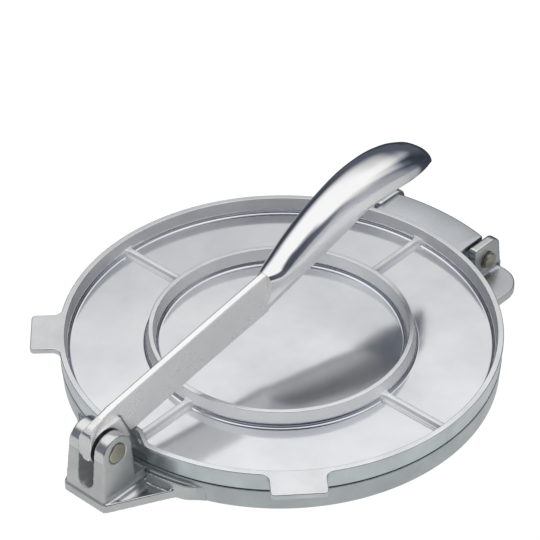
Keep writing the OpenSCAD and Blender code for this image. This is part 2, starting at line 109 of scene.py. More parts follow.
def eased(corners: Sequence[Corner], steps: int = 4, support: float = 0.12) -> list[Pair]:
    """Rounds the corners of an outline and keeps a short flat beside each rounding.

    Args:
        corners: sharp corners as (a, b, radius), where radius 0 stays sharp.
        steps: chords in each rounding.
        support: length of the flat kept beside a rounding.

    Returns:
        The rounded outline.
    """
    result: list[Pair] = []
    count = len(corners)
    for i, (a, b, radius) in enumerate(corners):
        if radius <= 0:
            result.append((a, b))
            continue
        here = Vector((a, b))
        back = Vector(corners[i - 1][:2]) - here
        ahead = Vector(corners[(i + 1) % count][:2]) - here
        half = back.angle(ahead) / 2
        reach = radius / math.tan(half)
        into, out = back.normalized(), ahead.normalized()
        middle = here + (into + out).normalized() * (radius / math.sin(half))
        first = here + into * reach - middle
        sweep = first.angle_signed(here + out * reach - middle)
        if back.length > reach + 2 * support:
            result.append(tuple(here + into * (reach + support)))
        for k in range(steps + 1):
            turned = first.copy()
            turned.rotate(Matrix.Rotation(-sweep * k / steps, 2))
            result.append(tuple(middle + turned))
        if ahead.length > reach + 2 * support:
            result.append(tuple(here + out * (reach + support)))
    return result


def clamped(share: float) -> float:
    """Keeps a share between 0 and 1."""
    return min(max(share, 0), 1)


def smooth(share: float) -> float:
    """Keeps a share between 0 and 1 and levels it off at both ends."""
    t = clamped(share)
    return t * t * (3 - 2 * t)


def curve(t: float, levels: Pair, slopes: Pair, run: float) -> float:
    """Level on a curve that leaves and arrives with given slopes.

    Args:
        t: share of the way along the curve.
        levels: level at each end.
        slopes: slope at each end.
        run: length of the curve.

    Returns:
        The level at t.
    """
    ease = smooth(t)
    leave, arrive = t * (1 - t) ** 2, t * t * (t - 1)
    return levels[0] * (1 - ease) + levels[1] * ease + run * (slopes[0] * leave + slopes[1] * arrive)


def reach_of(face: Face) -> float:
    """Distance in metres of a face's centre from the upright axis."""
    return Vector(face.center[:2]).length


def upright(face: Face, most: float = 0.5) -> bool:
    """Whether a face stands steeply enough to be part of a wall."""
    return abs(face.normal.z) < most


class Bench:
    """Workbench operations that shape a mesh with Blender's own operators."""

    @staticmethod
    def clear() -> None:
        """Leaves edit mode and deselects everything."""
        if bpy.context.object and bpy.context.object.mode != "OBJECT":
            bpy.ops.object.mode_set(mode="OBJECT")
        bpy.ops.object.select_all(action="DESELECT")

    @staticmethod
    def hold(piece: Piece) -> None:
        """Makes one piece the only selected and the active one.

        Args:
            piece: the piece to hold.
        """
        Bench.clear()
        piece.select_set(True)
        bpy.context.view_layer.objects.active = piece

    @staticmethod
    def edit(piece: Piece) -> None:
        """Opens a piece in edit mode with all of it selected.

        Args:
            piece: the mesh to open.
        """
        Bench.hold(piece)
        bpy.ops.object.mode_set(mode="EDIT")
        bpy.ops.mesh.select_mode(type="FACE")
        bpy.ops.mesh.select_all(action="SELECT")

    @staticmethod
    def face_out(piece: Piece, gap: float = 0.002) -> None:
        """Merges doubled points and turns all faces outwards.

        Args:
            piece: the mesh to clean.
            gap: distance in millimetres under which points merge.
        """
        Bench.edit(piece)
        bpy.ops.mesh.remove_doubles(threshold=gap * MM)
        bpy.ops.mesh.normals_make_consistent(inside=False)
        bpy.ops.object.mode_set(mode="OBJECT")

    @staticmethod
    def choose(piece: Piece, wanted: Callable[[Face], bool]) -> None:
        """Selects the faces that pass a test, and stays in edit mode.

        Args:
            piece: the mesh.
            wanted: test on one face.
        """
        Bench.edit(piece)
        bpy.ops.mesh.select_all(action="DESELECT")
        bpy.ops.object.mode_set(mode="OBJECT")
        for face in piece.data.polygons:
            face.select = wanted(face)
        bpy.ops.object.mode_set(mode="EDIT")

    @staticmethod
    def drawn(name: str, points: Sequence[Pair], axis: Axis, depth: float, fill: str) -> Piece:
        """Adds a circle and moves its corners onto an outline.

        Args:
            name: name of the piece.
            points: outline in millimetres.
            axis: direction that the outline faces.
            depth: place of the outline along that axis.
            fill: NGON for a face, NOTHING for edges alone.

        Returns:
            The flat piece.
        """
        Bench.clear()
        bpy.ops.mesh.primitive_circle_add(vertices=len(points), radius=MM, fill_type=fill)
        piece = bpy.context.object
        piece.name = piece.data.name = name
        for corner, (across, up) in zip(piece.data.vertices, points):
            corner.co = axis.place(across, up, depth)
        return piece

    @staticmethod
    def slab(
        name: str,
        points: Sequence[Pair],
        axis: Axis,
        start: float,
        stop: float,
        soft_start: float = 0.0,
        soft_stop: float = 0.0,
        steps: int = 4,
    ) -> Piece:
        """Draws an outline out into a solid with rounded edges.

        Args:
            name: name of the piece.
            points: outline in millimetres.
            axis: direction of the draw.
            start: lower end along the axis.
            stop: upper end along the axis.
            soft_start: edge radius at the lower end.
            soft_stop: edge radius at the upper end.
            steps: chords in each rounding.

        Returns:
            The solid.
        """
        low, high = start + soft_start, stop - soft_stop
        piece = Bench.drawn(name, points, axis, low, "NGON")
        Bench.edit(piece)
        pull = axis.place(0, 0, high - low)
        bpy.ops.mesh.extrude_region_move(TRANSFORM_OT_translate={"value": tuple(pull)})
        Bench.face_out(piece, 0.0005)
        for level, radius in ((low, soft_start), (high, soft_stop)):
            if radius > 0:
                Bench.soften(piece, axis, level, radius, steps)
        return piece

    @staticmethod
    def soften(piece: Piece, axis: Axis, level: float, radius: float, steps: int = 4) -> None:
        """Rounds the edge of a flat end by insets that follow a quarter circle.

        Args:
            piece: the solid.
            axis: direction that the end faces.
            level: place of the end along that axis.
            radius: radius of the rounding.
            steps: chords in the rounding.
        """
        index = axis.value
        Bench.choose(
            piece,
            lambda face: abs(face.center[index] - level * MM) < 1e-6 and abs(face.normal[index]) > 0.99,
        )
        for k in range(steps):
            a, b = math.pi / 2 * k / steps, math.pi / 2 * (k + 1) / steps
            bpy.ops.mesh.inset(
                thickness=radius * MM * (math.cos(a) - math.cos(b)),
                depth=radius * MM * (math.sin(b) - math.sin(a)),
            )
        bpy.ops.mesh.inset(thickness=0.1 * MM, depth=0)
        bpy.ops.object.mode_set(mode="OBJECT")

    @staticmethod
    def turned(
        name: str,
        section: Sequence[Pair],
        axis: Axis = Axis.Z,
        steps: int = ROUND_STEPS,
        start: float = 0.0,
        sweep: float = 360.0,
    ) -> Piece:
        """Spins a closed section round an axis through the origin.

        Args:
            name: name of the piece.
            section: closed section as (radius, height along the axis).
            axis: the axis of the spin, Z or X.
            steps: number of steps in the spin.
            start: angle from +X at which a part turn starts.
            sweep: angle of the spin.

        Returns:
            The turned solid.
        """
        piece = Bench.drawn(name, [(0.0, 0.0)] * len(section), Axis.Z, 0, "NOTHING")
        turn = Matrix.Rotation(math.radians(start), 3, "Z")
        for corner, (radius, height) in zip(piece.data.vertices, section):
            if axis is Axis.Z:
                corner.co = turn @ Vector((radius, 0, height)) * MM
            else:
                corner.co = Vector((height, 0, radius)) * MM
        Bench.edit(piece)
        bpy.ops.mesh.select_mode(type="VERT")
        bpy.ops.mesh.select_all(action="SELECT")
        bpy.ops.mesh.spin(
            steps=steps,
            angle=-math.radians(sweep),
            center=(0, 0, 0),
            axis=(0, 0, 1) if axis is Axis.Z else (1, 0, 0),
        )
        bpy.ops.mesh.select_all(action="SELECT")
        bpy.ops.mesh.remove_doubles(threshold=0.002 * MM)
        if sweep < 360:
            bpy.ops.mesh.fill_holes(sides=0)
        bpy.ops.object.mode_set(mode="OBJECT")
        Bench.face_out(piece)
        return piece

    @staticmethod
    def modify(piece: Piece, kind: str, **settings: object) -> None:
        """Adds a modifier, sets it and applies it.

        Args:
            piece: the mesh.
            kind: type of the modifier.
            settings: its settings by name.
        """
        Bench.hold(piece)
        bpy.ops.object.modifier_add(type=kind)
        modifier = piece.modifiers[-1]
        for key, value in settings.items():
            setattr(modifier, key, value)
        bpy.ops.object.modifier_apply(modifier=modifier.name)

    @staticmethod
    def combine(piece: Piece, tool: Piece, operation: str) -> None:
        """Cuts or crosses a piece with a tool and removes the tool.

        Args:
            piece: the solid that stays.
            tool: the solid that is used up.
            operation: DIFFERENCE or INTERSECT.
        """
        Bench.modify(piece, "BOOLEAN", object=tool, operation=operation, solver="EXACT")
        bpy.data.objects.remove(tool)

    @staticmethod
    def move(piece: Piece, place: Pair) -> None:
        """Moves a mesh from the X axis to an axis at a place in y and z, in millimetres."""
        piece.data.transform(Matrix.Translation(Vector((0, *place)) * MM))

    @staticmethod
    def bore(piece: Piece, place: Pair, radius: float, ends: Pair, steps: int) -> None:
        """Drills a round hole along X.

        Args:
            piece: the solid.
            place: y and z of the hole's axis.
            radius: radius of the hole.
            ends: where the hole starts and stops along X.
            steps: number of sides.
        """
        start, stop = ends
        section = [(0, start), (radius, start), (radius, stop), (0, stop)]
        drill = Bench.turned("bore", section, Axis.X, steps)
        Bench.move(drill, place)
        Bench.combine(piece, drill, "DIFFERENCE")

    @staticmethod
    def saw(piece: Piece, across: float, facing: int = 1, drop: bool = False) -> None:
        """Cuts a piece along a plane across X.

        Args:
            piece: the solid.
            across: place of the plane.
            facing: direction of the plane's outer side along X, 1 or -1.
            drop: whether the outer part is dropped and the cut is closed.
        """
        Bench.edit(piece)
        bpy.ops.mesh.bisect(
            plane_co=(across * MM, 0, 0), plane_no=(facing, 0, 0), use_fill=drop, clear_outer=drop
        )
        bpy.ops.object.mode_set(mode="OBJECT")

    @staticmethod
    def joined(name: str, pieces: Sequence[Piece]) -> Piece:
        """Joins several meshes into one.

        Args:
            name: name of the result.
            pieces: the meshes.

        Returns:
            The joined piece.
        """
        Bench.hold(pieces[0])
        for other in pieces[1:]:
            other.select_set(True)
        if len(pieces) > 1:
            bpy.ops.object.join()
        pieces[0].name = pieces[0].data.name = name
        return pieces[0]

    @staticmethod
    def cast(piece: Piece, grain: float, rounds: int) -> None:
        """Melts overlapping solids into one casting with soft edges and fillets.

        Args:
            piece: the overlapping solids.
            grain: cell size in millimetres.
            rounds: rounds of smoothing.
        """
        Bench.modify(piece, "REMESH", mode="VOXEL", voxel_size=grain * MM, adaptivity=0.0)
        Bench.modify(piece, "SMOOTH", factor=0.5, iterations=rounds)

    @staticmethod
    def copied(piece: Piece, name: str, change: Matrix) -> Piece:
        """Copies a piece with a mesh of its own and turns or mirrors the copy.

        Args:
            piece: the piece to copy.
            name: name of the copy.
            change: matrix applied to the copy's mesh.

        Returns:
            The copy.
        """
        Bench.hold(piece)
        bpy.ops.object.duplicate(linked=False)
        twin = bpy.context.object
        twin.name = twin.data.name = name
        twin.data.transform(change)
        if change.determinant() < 0:
            twin.data.flip_normals()
        return twin


MIRROR_X = Matrix.Scale(-1, 4, Vector((1, 0, 0)))


class Socket:
    """A shader socket of numbers or colours that takes part in Python arithmetic."""

    def __init__(self, shop: "Shader", link: bpy.types.NodeSocket) -> None:
        """Keeps the socket and the shader that it belongs to."""
        self.shop = shop
        self.link = link

    def _math(self, operation: str, first: object, second: object = None) -> "Socket":
        """Adds one Math node and returns its result."""
        inputs = [first] if second is None else [first, second]
        return self.shop.node("ShaderNodeMath", {"operation": operation}, dict(enumerate(inputs)))

    def __add__(self, other: object) -> "Socket":
        """Sum."""
        return self._math("ADD", self, other)

    __radd__ = __add__

    def __sub__(self, other: object) -> "Socket":
        """Difference."""
        return self._math("SUBTRACT", self, other)

    def __rsub__(self, other: object) -> "Socket":
        """Difference from a number."""
        return self._math("SUBTRACT", other, self)

    def __mul__(self, other: object) -> "Socket":
        """Product."""
        return self._math("MULTIPLY", self, other)

    __rmul__ = __mul__

    def __truediv__(self, other: object) -> "Socket":
        """Quotient."""
        return self._math("DIVIDE", self, other)

    def root(self) -> "Socket":
        """Square root."""
        return self._math("SQRT", self)

    def ramp(self, low: float, high: float) -> "Socket":
        """Share of the way from low to high, kept between 0 and 1."""
        return self.shop.node(
            "ShaderNodeMapRange", {"clamp": True}, {"Value": self, "From Min": low, "From Max": high}
        )


class Shader:
    """One material whose nodes are made through a single method."""

    def __init__(self, name: str) -> None:
        """Starts an empty material with a Principled shader.

        Args:
            name: name of the material.
        """
        self.material = bpy.data.materials.new(name)
        self.material.use_nodes = True
        self.tree = self.material.node_tree
        self.surface = self.tree.nodes["Principled BSDF"]

    def node(self, kind: str, settings: dict, inputs: dict, output: Union[int, str] = 0) -> Socket:
        """Adds a node.

        Args:
            kind: type of the node.
            settings: its settings, set before the inputs.
            inputs: values or sockets by name or number.
            output: which output to return.

        Returns:
            The chosen output.
        """
        node = self.tree.nodes.new(kind)
        for key, value in settings.items():
            if key == "stops":
                elements = node.color_ramp.elements
                while len(elements) < len(value):
                    elements.new(1.0)
                for element, (place, colour) in zip(elements, value):
                    element.position, element.color = place, colour
            else:
                setattr(node, key, value)
        for key, value in inputs.items():
            self.feed(node.inputs[key], value)
        return Socket(self, node.outputs[output])

    def feed(self, target: bpy.types.NodeSocket, value: object) -> None:
        """Links a socket or sets a constant on a node's input.

        Args:
            target: the input.
            value: the socket or the constant.
        """
        if isinstance(value, Socket):
            self.tree.links.new(value.link, target)
        else:
            target.default_value = value

    def part(self, place: Socket, index: int) -> Socket:
        """One coordinate of a place."""
        return self.node("ShaderNodeSeparateXYZ", {}, {0: place}, index)

    def angle(self, up: Socket, along: Socket) -> Socket:
        """Angle in radians of a rise over a run."""
        return self.node("ShaderNodeMath", {"operation": "ARCTAN2"}, {0: up, 1: along})

    def object_place(self, stretch: Corner = (1, 1, 1)) -> Socket:
        """Object coordinates, stretched along the axes."""
        place = self.node("ShaderNodeTexCoord", {}, {}, "Object")
        return self.node("ShaderNodeMapping", {}, {"Vector": place, "Scale": stretch})

    def noise(self, place: Socket, scale: float, detail: float = 3.0, rough: float = 0.5) -> Socket:
        """Cloudy noise between 0 and 1."""
        return self.node(
            "ShaderNodeTexNoise",
            {},
            {"Vector": place, "Scale": scale, "Detail": detail, "Roughness": rough},
        )

    def blend(self, share: Socket, first: Sequence[float], second: Sequence[float]) -> Socket:
        """Mixes two colours by a share."""
        colours = {6: (*first, 1), 7: (*second, 1)}
        return self.node(
            "ShaderNodeMix", {"data_type": "RGBA", "clamp_factor": True}, {0: share, **colours}, 2
        )

    def bump(self, height: Socket, strength: float, depth: float) -> Socket:
        """Bumps from a height, depth in millimetres."""
        return self.node(
            "ShaderNodeBump", {}, {"Height": height, "Strength": strength, "Distance": depth * MM}
        )

    def finish(self, **inputs: object) -> bpy.types.Material:
        """Feeds the Principled shader.

        Args:
            inputs: values or sockets by the name of the input, with _ for a space.

        Returns:
            The material.
        """
        for key, value in inputs.items():
            self.feed(self.surface.inputs[key.replace("_", " ")], value)
        return self.material

    def cover(self, piece: Piece, surface: Socket) -> None:
        """Ends the material in a surface other than the Principled one and puts it on a piece."""
        self.feed(self.tree.nodes["Material Output"].inputs["Surface"], surface)
        piece.data.materials.append(self.material)


class Lay(Enum):
    """Direction in which the tool marks of a finish run."""

    NONE = (1.0, 1.0, 1.0)
    ALONG_Y = (1.0, 0.03, 1.0)
    RINGS = (1.0, 1.0, 0.0)


@dataclass(frozen=True)
class MetalFinish:
    """A bare metal surface with the tone, gloss and marks of its making.

    Attributes:
        name: name of the material.
        slot: slot of the record that it belongs to; not used.
        tone: main colour.
        shade: colour of the duller patches.
        gloss: lowest and highest roughness.
        patch: size of the cloudy patches, as a noise scale.
        grain: noise scale of the skin.
        grain_depth: height of the skin in millimetres.
        lay: direction of the tool marks.
        mark_depth: height of the tool marks in millimetres.
        speck: how dark the fine specks are.
        wave: depth in millimetres of the slow waves that bend reflections.
        metal: how metallic it is; the rest scatters like a blasted or cast skin.
        worn: name of the attribute that marks the satin part, if there is one.
        worn_gloss: roughness of the satin part.
    """

    name: str
    slot: str
    tone: Corner
    shade: Corner
    gloss: Pair
    patch: float = 30.0
    grain: float = 900.0
    grain_depth: float = 0.02
    lay: Lay = Lay.NONE
    mark_depth: float = 0.0
    speck: float = 0.0
    wave: float = 0.0
    metal: float = 1.0
    worn: str = ""
    worn_gloss: float = 0.30

    def material(self) -> bpy.types.Material:
        """Builds the material, unless it is there already.

        Returns:
            The material.
        """
        found = bpy.data.materials.get(self.name)
        if found:
            return found
        shop = Shader(self.name)
        place = shop.object_place()
        clouds = shop.noise(place, self.patch, 4.0, 0.55)
        skin = shop.noise(place, self.grain, 3.0, 0.6)
        height = skin * self.grain_depth
        if self.lay is Lay.RINGS:
            x, y = shop.part(place, 0), shop.part(place, 1)
            radius = (x * x + y * y).root()
            marks = shop.node(
                "ShaderNodeTexNoise",
                {"noise_dimensions": "1D"},
                {"W": radius, "Scale": 2500.0, "Detail": 2.0},
            )
        else:
            marks = shop.noise(shop.object_place(self.lay.value), 2200.0, 2.0)
        if self.mark_depth:
            height = height + marks * self.mark_depth
        if self.wave:
            height = height + shop.noise(place, 45.0, 1.0) * self.wave
        share = clouds.ramp(0.3, 0.7)
        if self.speck:
            pits = shop.noise(place, self.grain * 1.6, 1.0).ramp(0.66, 0.74)
            share = share * (1 - self.speck) + pits * self.speck
        low, high = self.gloss
        rough = (clouds * 0.6 + marks * 0.4).ramp(0.3, 0.7) * (high - low) + low
        shop.surface.inputs["Metallic"].default_value = self.metal
        if self.worn:
            satin = shop.node("ShaderNodeAttribute", {"attribute_name": self.worn}, {}, "Fac")
            rough = rough * (1 - satin) + satin * self.worn_gloss
            height = height + skin * satin * 0.02
            shop.feed(shop.surface.inputs["Metallic"], 1 - satin * 0.38)
        return shop.finish(
            Base_Color=shop.blend(share, self.tone, self.shade),
            Roughness=rough,
            Normal=shop.bump(height, 0.6, 1.0),
        )


WALL = MetalFinish(
    "satin_base_wall", "cast_base", (0.56, 0.60, 0.61), (0.43, 0.48, 0.50), (0.30, 0.42),
    patch=80, grain=700, grain_depth=0.03, speck=0.35,
)
LUMP = MetalFinish(
    "satin_cast_fittings", "cast_base", (0.60, 0.62, 0.61), (0.49, 0.51, 0.50), (0.28, 0.40),
    patch=90, grain=600, grain_depth=0.03, speck=0.2, metal=0.75,
)
FACE = MetalFinish(
    "turned_pressing_face", "cast_base", (0.70, 0.71, 0.72), (0.62, 0.63, 0.64), (0.22, 0.34),
    patch=20, grain=900, grain_depth=0.005, lay=Lay.RINGS, mark_depth=0.01,
)
RIM_WALL = MetalFinish(
    "satin_rim_wall", "cast_top", (0.70, 0.76, 0.78), (0.56, 0.62, 0.64), (0.30, 0.42),
    patch=80, grain=700, grain_depth=0.03, speck=0.25,
)
FLOOR = MetalFinish(
    "polished_pan_floor", "cast_top", (0.95, 0.96, 0.98), (0.80, 0.82, 0.85), (0.08, 0.18),
    patch=26, grain=420, grain_depth=0.004, wave=0.10,
)
RIB = MetalFinish(
    "worn_rib", "cast_top", (1.0, 1.0, 1.0), (0.92, 0.93, 0.94), (0.30, 0.42),
    patch=60, grain=500, grain_depth=0.01, metal=0.5,
)
RING_WALL = MetalFinish(
    "dull_ring_wall", "cast_top", (1.0, 1.0, 1.0), (0.92, 0.92, 0.92), (0.38, 0.50),
    patch=50, grain=500, grain_depth=0.02, speck=0.2, metal=0.38,
)
PAN_WALL = MetalFinish(
    "dull_pan_wall", "cast_top", (0.80, 0.80, 0.81), (0.66, 0.66, 0.67), (0.42, 0.55),
    patch=50, grain=500, grain_depth=0.02, speck=0.2, metal=0.6,
)
RIM = MetalFinish(
    "linished_rim", "cast_top", (0.94, 0.95, 0.96), (0.82, 0.83, 0.84), (0.16, 0.28),
    patch=50, grain=900, grain_depth=0.008, lay=Lay.ALONG_Y, mark_depth=0.03,
)
BAR_TOP = MetalFinish(
    "polished_bar_edge", "polished_lever", (0.98, 0.98, 0.98), (0.92, 0.92, 0.92), (0.10, 0.20),
    patch=40, grain=400, grain_depth=0.005,
)
TONGUE = MetalFinish(
    "dull_tongue_top", "cast_top", (0.60, 0.62, 0.65), (0.52, 0.54, 0.56), (0.20, 0.32),
    patch=30, grain=700, grain_depth=0.01,
)
LUG_TOP = MetalFinish(
    "dull_lug_top", "cast_base", (0.72, 0.735, 0.755), (0.64, 0.655, 0.67), (0.20, 0.32),
    patch=30, grain=700, grain_depth=0.01,
)
BAR = MetalFinish(
    "satin_lever_bar", "polished_lever", (0.98, 0.965, 0.93), (0.88, 0.865, 0.84), (0.24, 0.36),
    patch=70, grain=500, grain_depth=0.02, speck=0.35, metal=0.45,
)
HEAD = MetalFinish(
    "polished_heads", "cast_base", (0.80, 0.81, 0.81), (0.68, 0.69, 0.69), (0.12, 0.22),
    patch=90, grain=500, grain_depth=0.01,
)
# Dark as-cast skin inside the grip; on the lever the same dark colour is also painted shade on the eye's
# side beside the ear and a painted dark reflection on the bevel behind the cam.
DARK_CAST_AND_PAINTED_SHADE = MetalFinish(
    "as_cast_and_painted_shade", "polished_lever", (0.36, 0.38, 0.43), (0.26, 0.28, 0.32), (0.35, 0.5),
    patch=80, grain=500, grain_depth=0.05, speck=0.2,
)
GRIP = MetalFinish(
    "mirror_grip", "polished_lever", (0.93, 0.93, 0.94), (0.90, 0.90, 0.91), (0.06, 0.12),
    patch=40, grain=260, grain_depth=0.003, worn="satin",
)
PIN = MetalFinish(
    "yellow_passivated_steel", "steel_pin", (0.56, 0.54, 0.44), (0.44, 0.42, 0.34), (0.26, 0.42),
    patch=160, grain=500, grain_depth=0.05, speck=0.2,
)


def dressed(
    piece: Piece,
    body: str,
    finishes: Sequence[tuple[MetalFinish, Optional[Callable[[Face], bool]]]],
    nodes: Sequence[str],
    crease: float = 40.0,
) -> Piece:
    """Gives a piece its finishes, its body and the CAD nodes that it stands for.

    Args:
        piece: the finished mesh.
        body: body that it rides on.
        finishes: finishes, each with the test of the faces that it covers.
        nodes: CAD nodes that the piece replaces.
        crease: angle in degrees over which an edge stays sharp.

    Returns:
        The piece.
    """
    Bench.hold(piece)
    bpy.ops.object.shade_smooth_by_angle(angle=math.radians(crease))
    piece.data.materials.clear()
    for number, (finish, covers) in enumerate(finishes):
        piece.data.materials.append(finish.material())
        if covers:
            for face in piece.data.polygons:
                if covers(face):
                    face.material_index = number
    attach(piece, body)
    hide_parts(*nodes)
    LOG.info("%s: %d faces on %s", piece.name, len(piece.data.polygons), body)
    return piece


@dataclass
class BasePlate:
    """The lower casting: disc, clevis with its foot, rear ears and lugs."""

    radius: float = 101.6
    foot_radius: float = 100.8
    height: float = 10.8
    web: float = 3.0
    wall: float = 3.8
    wall_root: float = 97.6
    hub: float = 13.0
    under_ring: Pair = (57.5, 60.5)
    stiffener_half: float = 1.5
    pivot: Pair = PIVOT
    hinge: Pair = HINGE
    slot_half: float = 4.6
    slot_floor: float = 8.0
    foot_half: float = 11.9
    head_half: float = 10.3
    head_radius: float = 8.5
    pin_radius: float = PIN_RADIUS
    rod_radius: float = ROD_RADIUS
    ear_inner: float = 27.2
    ear_outer: float = 31.9
    ear_head: float = 9.1
    lug_height: float = 4.5
    lug_start: float = 86.0

    def disc(self) -> Piece:
        """Turns the disc with its hollow underside, ring and hub.

        Returns:
            The disc.
        """
        under = self.height - self.web
        wall_inner = self.foot_radius - self.wall
        inner, outer = self.under_ring
        section = eased([
            (0, 0, 0), (self.hub, 0, 0.4), (self.hub, under, 1.2), (inner, under, 1.2), (inner, 0, 0.4),
            (outer, 0, 0.4), (outer, under, 1.2), (wall_inner, under, 1.2), (wall_inner, 0, 0.4),
            (self.foot_radius, 0, 0.5), (self.radius, self.height, 0.35), (0, self.height, 0),
        ])
        return Bench.turned("base_disc", section)

    def stiffeners(self) -> Piece:
        """Draws the four ribs under the disc.

        Returns:
            The ribs as one piece.
        """
        ribs = []
        start, stop, half = self.hub - 2, self.wall_root - 0.4, self.stiffener_half
        outline = [(start, -half), (stop, -half), (stop, half), (start, half)]
        for turn in range(4):
            rib = Bench.slab("rib", outline, Axis.Z, 0, self.height - self.web + 0.2, soft_start=0.4)
            rib.data.transform(Matrix.Rotation(math.pi / 2 * turn, 4, "Z"))
            ribs.append(rib)
        return Bench.joined("base_stiffeners", ribs)

    def wall_sector(self, start: float, sweep: float) -> Piece:
        """Turns a piece of the disc's wall, a hair inside it, that fillets grow from.

        Args:
            start: angle in degrees from +X at which it starts.
            sweep: angle that it takes up.

        Returns:
            The piece of wall.
        """
        hair, low, high = 0.06, 0.1, self.height - 0.3
        section = [
            (self.wall_root, low), (self.foot_radius - hair, low),
            (self.radius - hair, high), (self.wall_root, high),
        ]
        return Bench.turned("sector", section, steps=int(sweep), start=start, sweep=sweep)

    def clevis_solid(self) -> Piece:
        """Draws the two ears of the clevis with the round-bottomed slot between them.

        Returns:
            The clevis with its bore.
        """
        pivot_y, pivot_z = self.pivot
        top = pivot_z + self.head_radius + 1
        slot_z = self.slot_floor + self.slot_half
        lean = (self.foot_half - self.head_half) / (top - 1)
        head = self.head_half - lean
        front = [(-self.foot_half, 0), (self.foot_half, 0), (head, top), (self.slot_half, top)]
        front += arc((0, slot_z), self.slot_half, 0, -180, 16)
        front += [(-self.slot_half, top), (-head, top)]
        clevis = Bench.slab("clevis", front, Axis.Y, pivot_y - 14, pivot_y + 16)
        side = [(pivot_y - 11.4, 0), (pivot_y + 9.5, 0)]
        side += arc((pivot_y, pivot_z), self.head_radius, 0, 180, 28)
        Bench.combine(clevis, Bench.slab("side", side, Axis.X, -14, 14), "INTERSECT")
        Bench.bore(clevis, self.pivot, self.pin_radius + 0.12, (-20, 20), 48)
        return clevis

    def gusset_plan(self, inset: float) -> list[Pair]:
        """Plan of one gusset.

        Args:
            inset: distance that its side and its curve move inwards.

        Returns:
            The outline, on the +X side.
        """
        pivot_y = self.pivot[0]
        start = Vector((self.foot_half + 1.3, pivot_y - 10))
        turn = Vector((26.8, pivot_y + 14.4))
        slope = math.atan2(turn.y - start.y, turn.x - start.x)
        out = Vector((math.sin(slope), -math.cos(slope)))
        radius = 18
        centre = turn + radius * out
        first = tuple(start - inset * out)
        bend = arc(tuple(centre), radius + inset, math.degrees(slope) + 90, 98, 16)
        inner = self.foot_half - 2
        return [(inner, first[1]), first, *bend, (inner, pivot_y + 22.7)]

    def gusset(self) -> list[Piece]:
        """Draws one recessed gusset with the large fillet along the clevis's foot.

        Returns:
            The gusset and the fillet, on the +X side.
        """
        pivot_y = self.pivot[0]
        floor = self.lug_height - 1.8
        body = Bench.slab("gusset", self.gusset_plan(0), Axis.Z, 0, self.lug_height)
        recess = Bench.slab("recess", self.gusset_plan(1.3), Axis.Z, floor, 20)
        keep = Bench.turned("keep", [(0, -1), (self.radius + 2.5, -1), (self.radius + 2.5, 30), (0, 30)])
        Bench.combine(recess, keep, "DIFFERENCE")
        Bench.combine(body, recess, "DIFFERENCE")
        foot, radius, sunk = self.foot_half - 1, 6.2, floor - 0.4
        hollow = [(foot, sunk), (foot + radius, sunk)]
        hollow += arc((foot + radius, floor + radius), radius, -90, -180, 14)
        fillet = Bench.slab("fillet", hollow, Axis.Y, pivot_y - 9, pivot_y + 22)
        within = Bench.slab("within", self.gusset_plan(0.4), Axis.Z, 0, 20)
        Bench.combine(fillet, within, "INTERSECT")
        return [body, fillet]

    def ledge_plan(self, side: int) -> list[Pair]:
        """Plan of the ledge along the wall, which dies out into the wall.

        Args:
            side: 1 on the +X side, -1 on the other.

        Returns:
            The outline.
        """
        start, sweep = side * 7.5 - 90, side * 15.5
        depth, hair, steps, straight = 2.5, 0.2, 16, 10
        points = []
        for i in range(steps + 1):
            fade = smooth((i - straight) / (steps - straight))
            reach = self.radius - hair + (depth + hair) * (1 - fade)
            turn = math.radians(start + sweep * i / steps)
            points.append((reach * math.cos(turn), reach * math.sin(turn)))
        return points + arc((0, 0), self.wall_root, start + sweep, start, 12)

    def clevis(self) -> Piece:
        """Casts the clevis, its block, flange, gussets and wall ledges as one lump.

        Returns:
            The casting.
        """
        pivot_y = self.pivot[0]
        half, rear = self.foot_half - 0.6, pivot_y + 18
        block = [(-half, pivot_y), (half, pivot_y), (half, rear), (-half, rear)]
        flange_half, front = self.foot_half + 1.8, pivot_y - 11.8
        flange = eased([
            (-flange_half, front, 3.5), (flange_half, front, 3.5),
            (flange_half, rear, 0), (-flange_half, rear, 0),
        ], 8)
        solids = [
            self.clevis_solid(),
            Bench.slab("block", block, Axis.Z, 0.1, self.slot_floor),
            Bench.slab("flange", flange, Axis.Z, 0, self.lug_height),
            self.wall_sector(-112, 44),
        ]
        for side in (1, -1):
            for solid in self.gusset():
                if side < 0:
                    solid.data.transform(MIRROR_X)
                    solid.data.flip_normals()
                solids.append(solid)
            solids.append(Bench.slab("ledge", self.ledge_plan(side), Axis.Z, 0.1, self.slot_floor))
        lump = Bench.joined("clevis_casting", solids)
        Bench.cast(lump, 0.42, 4)
        return lump

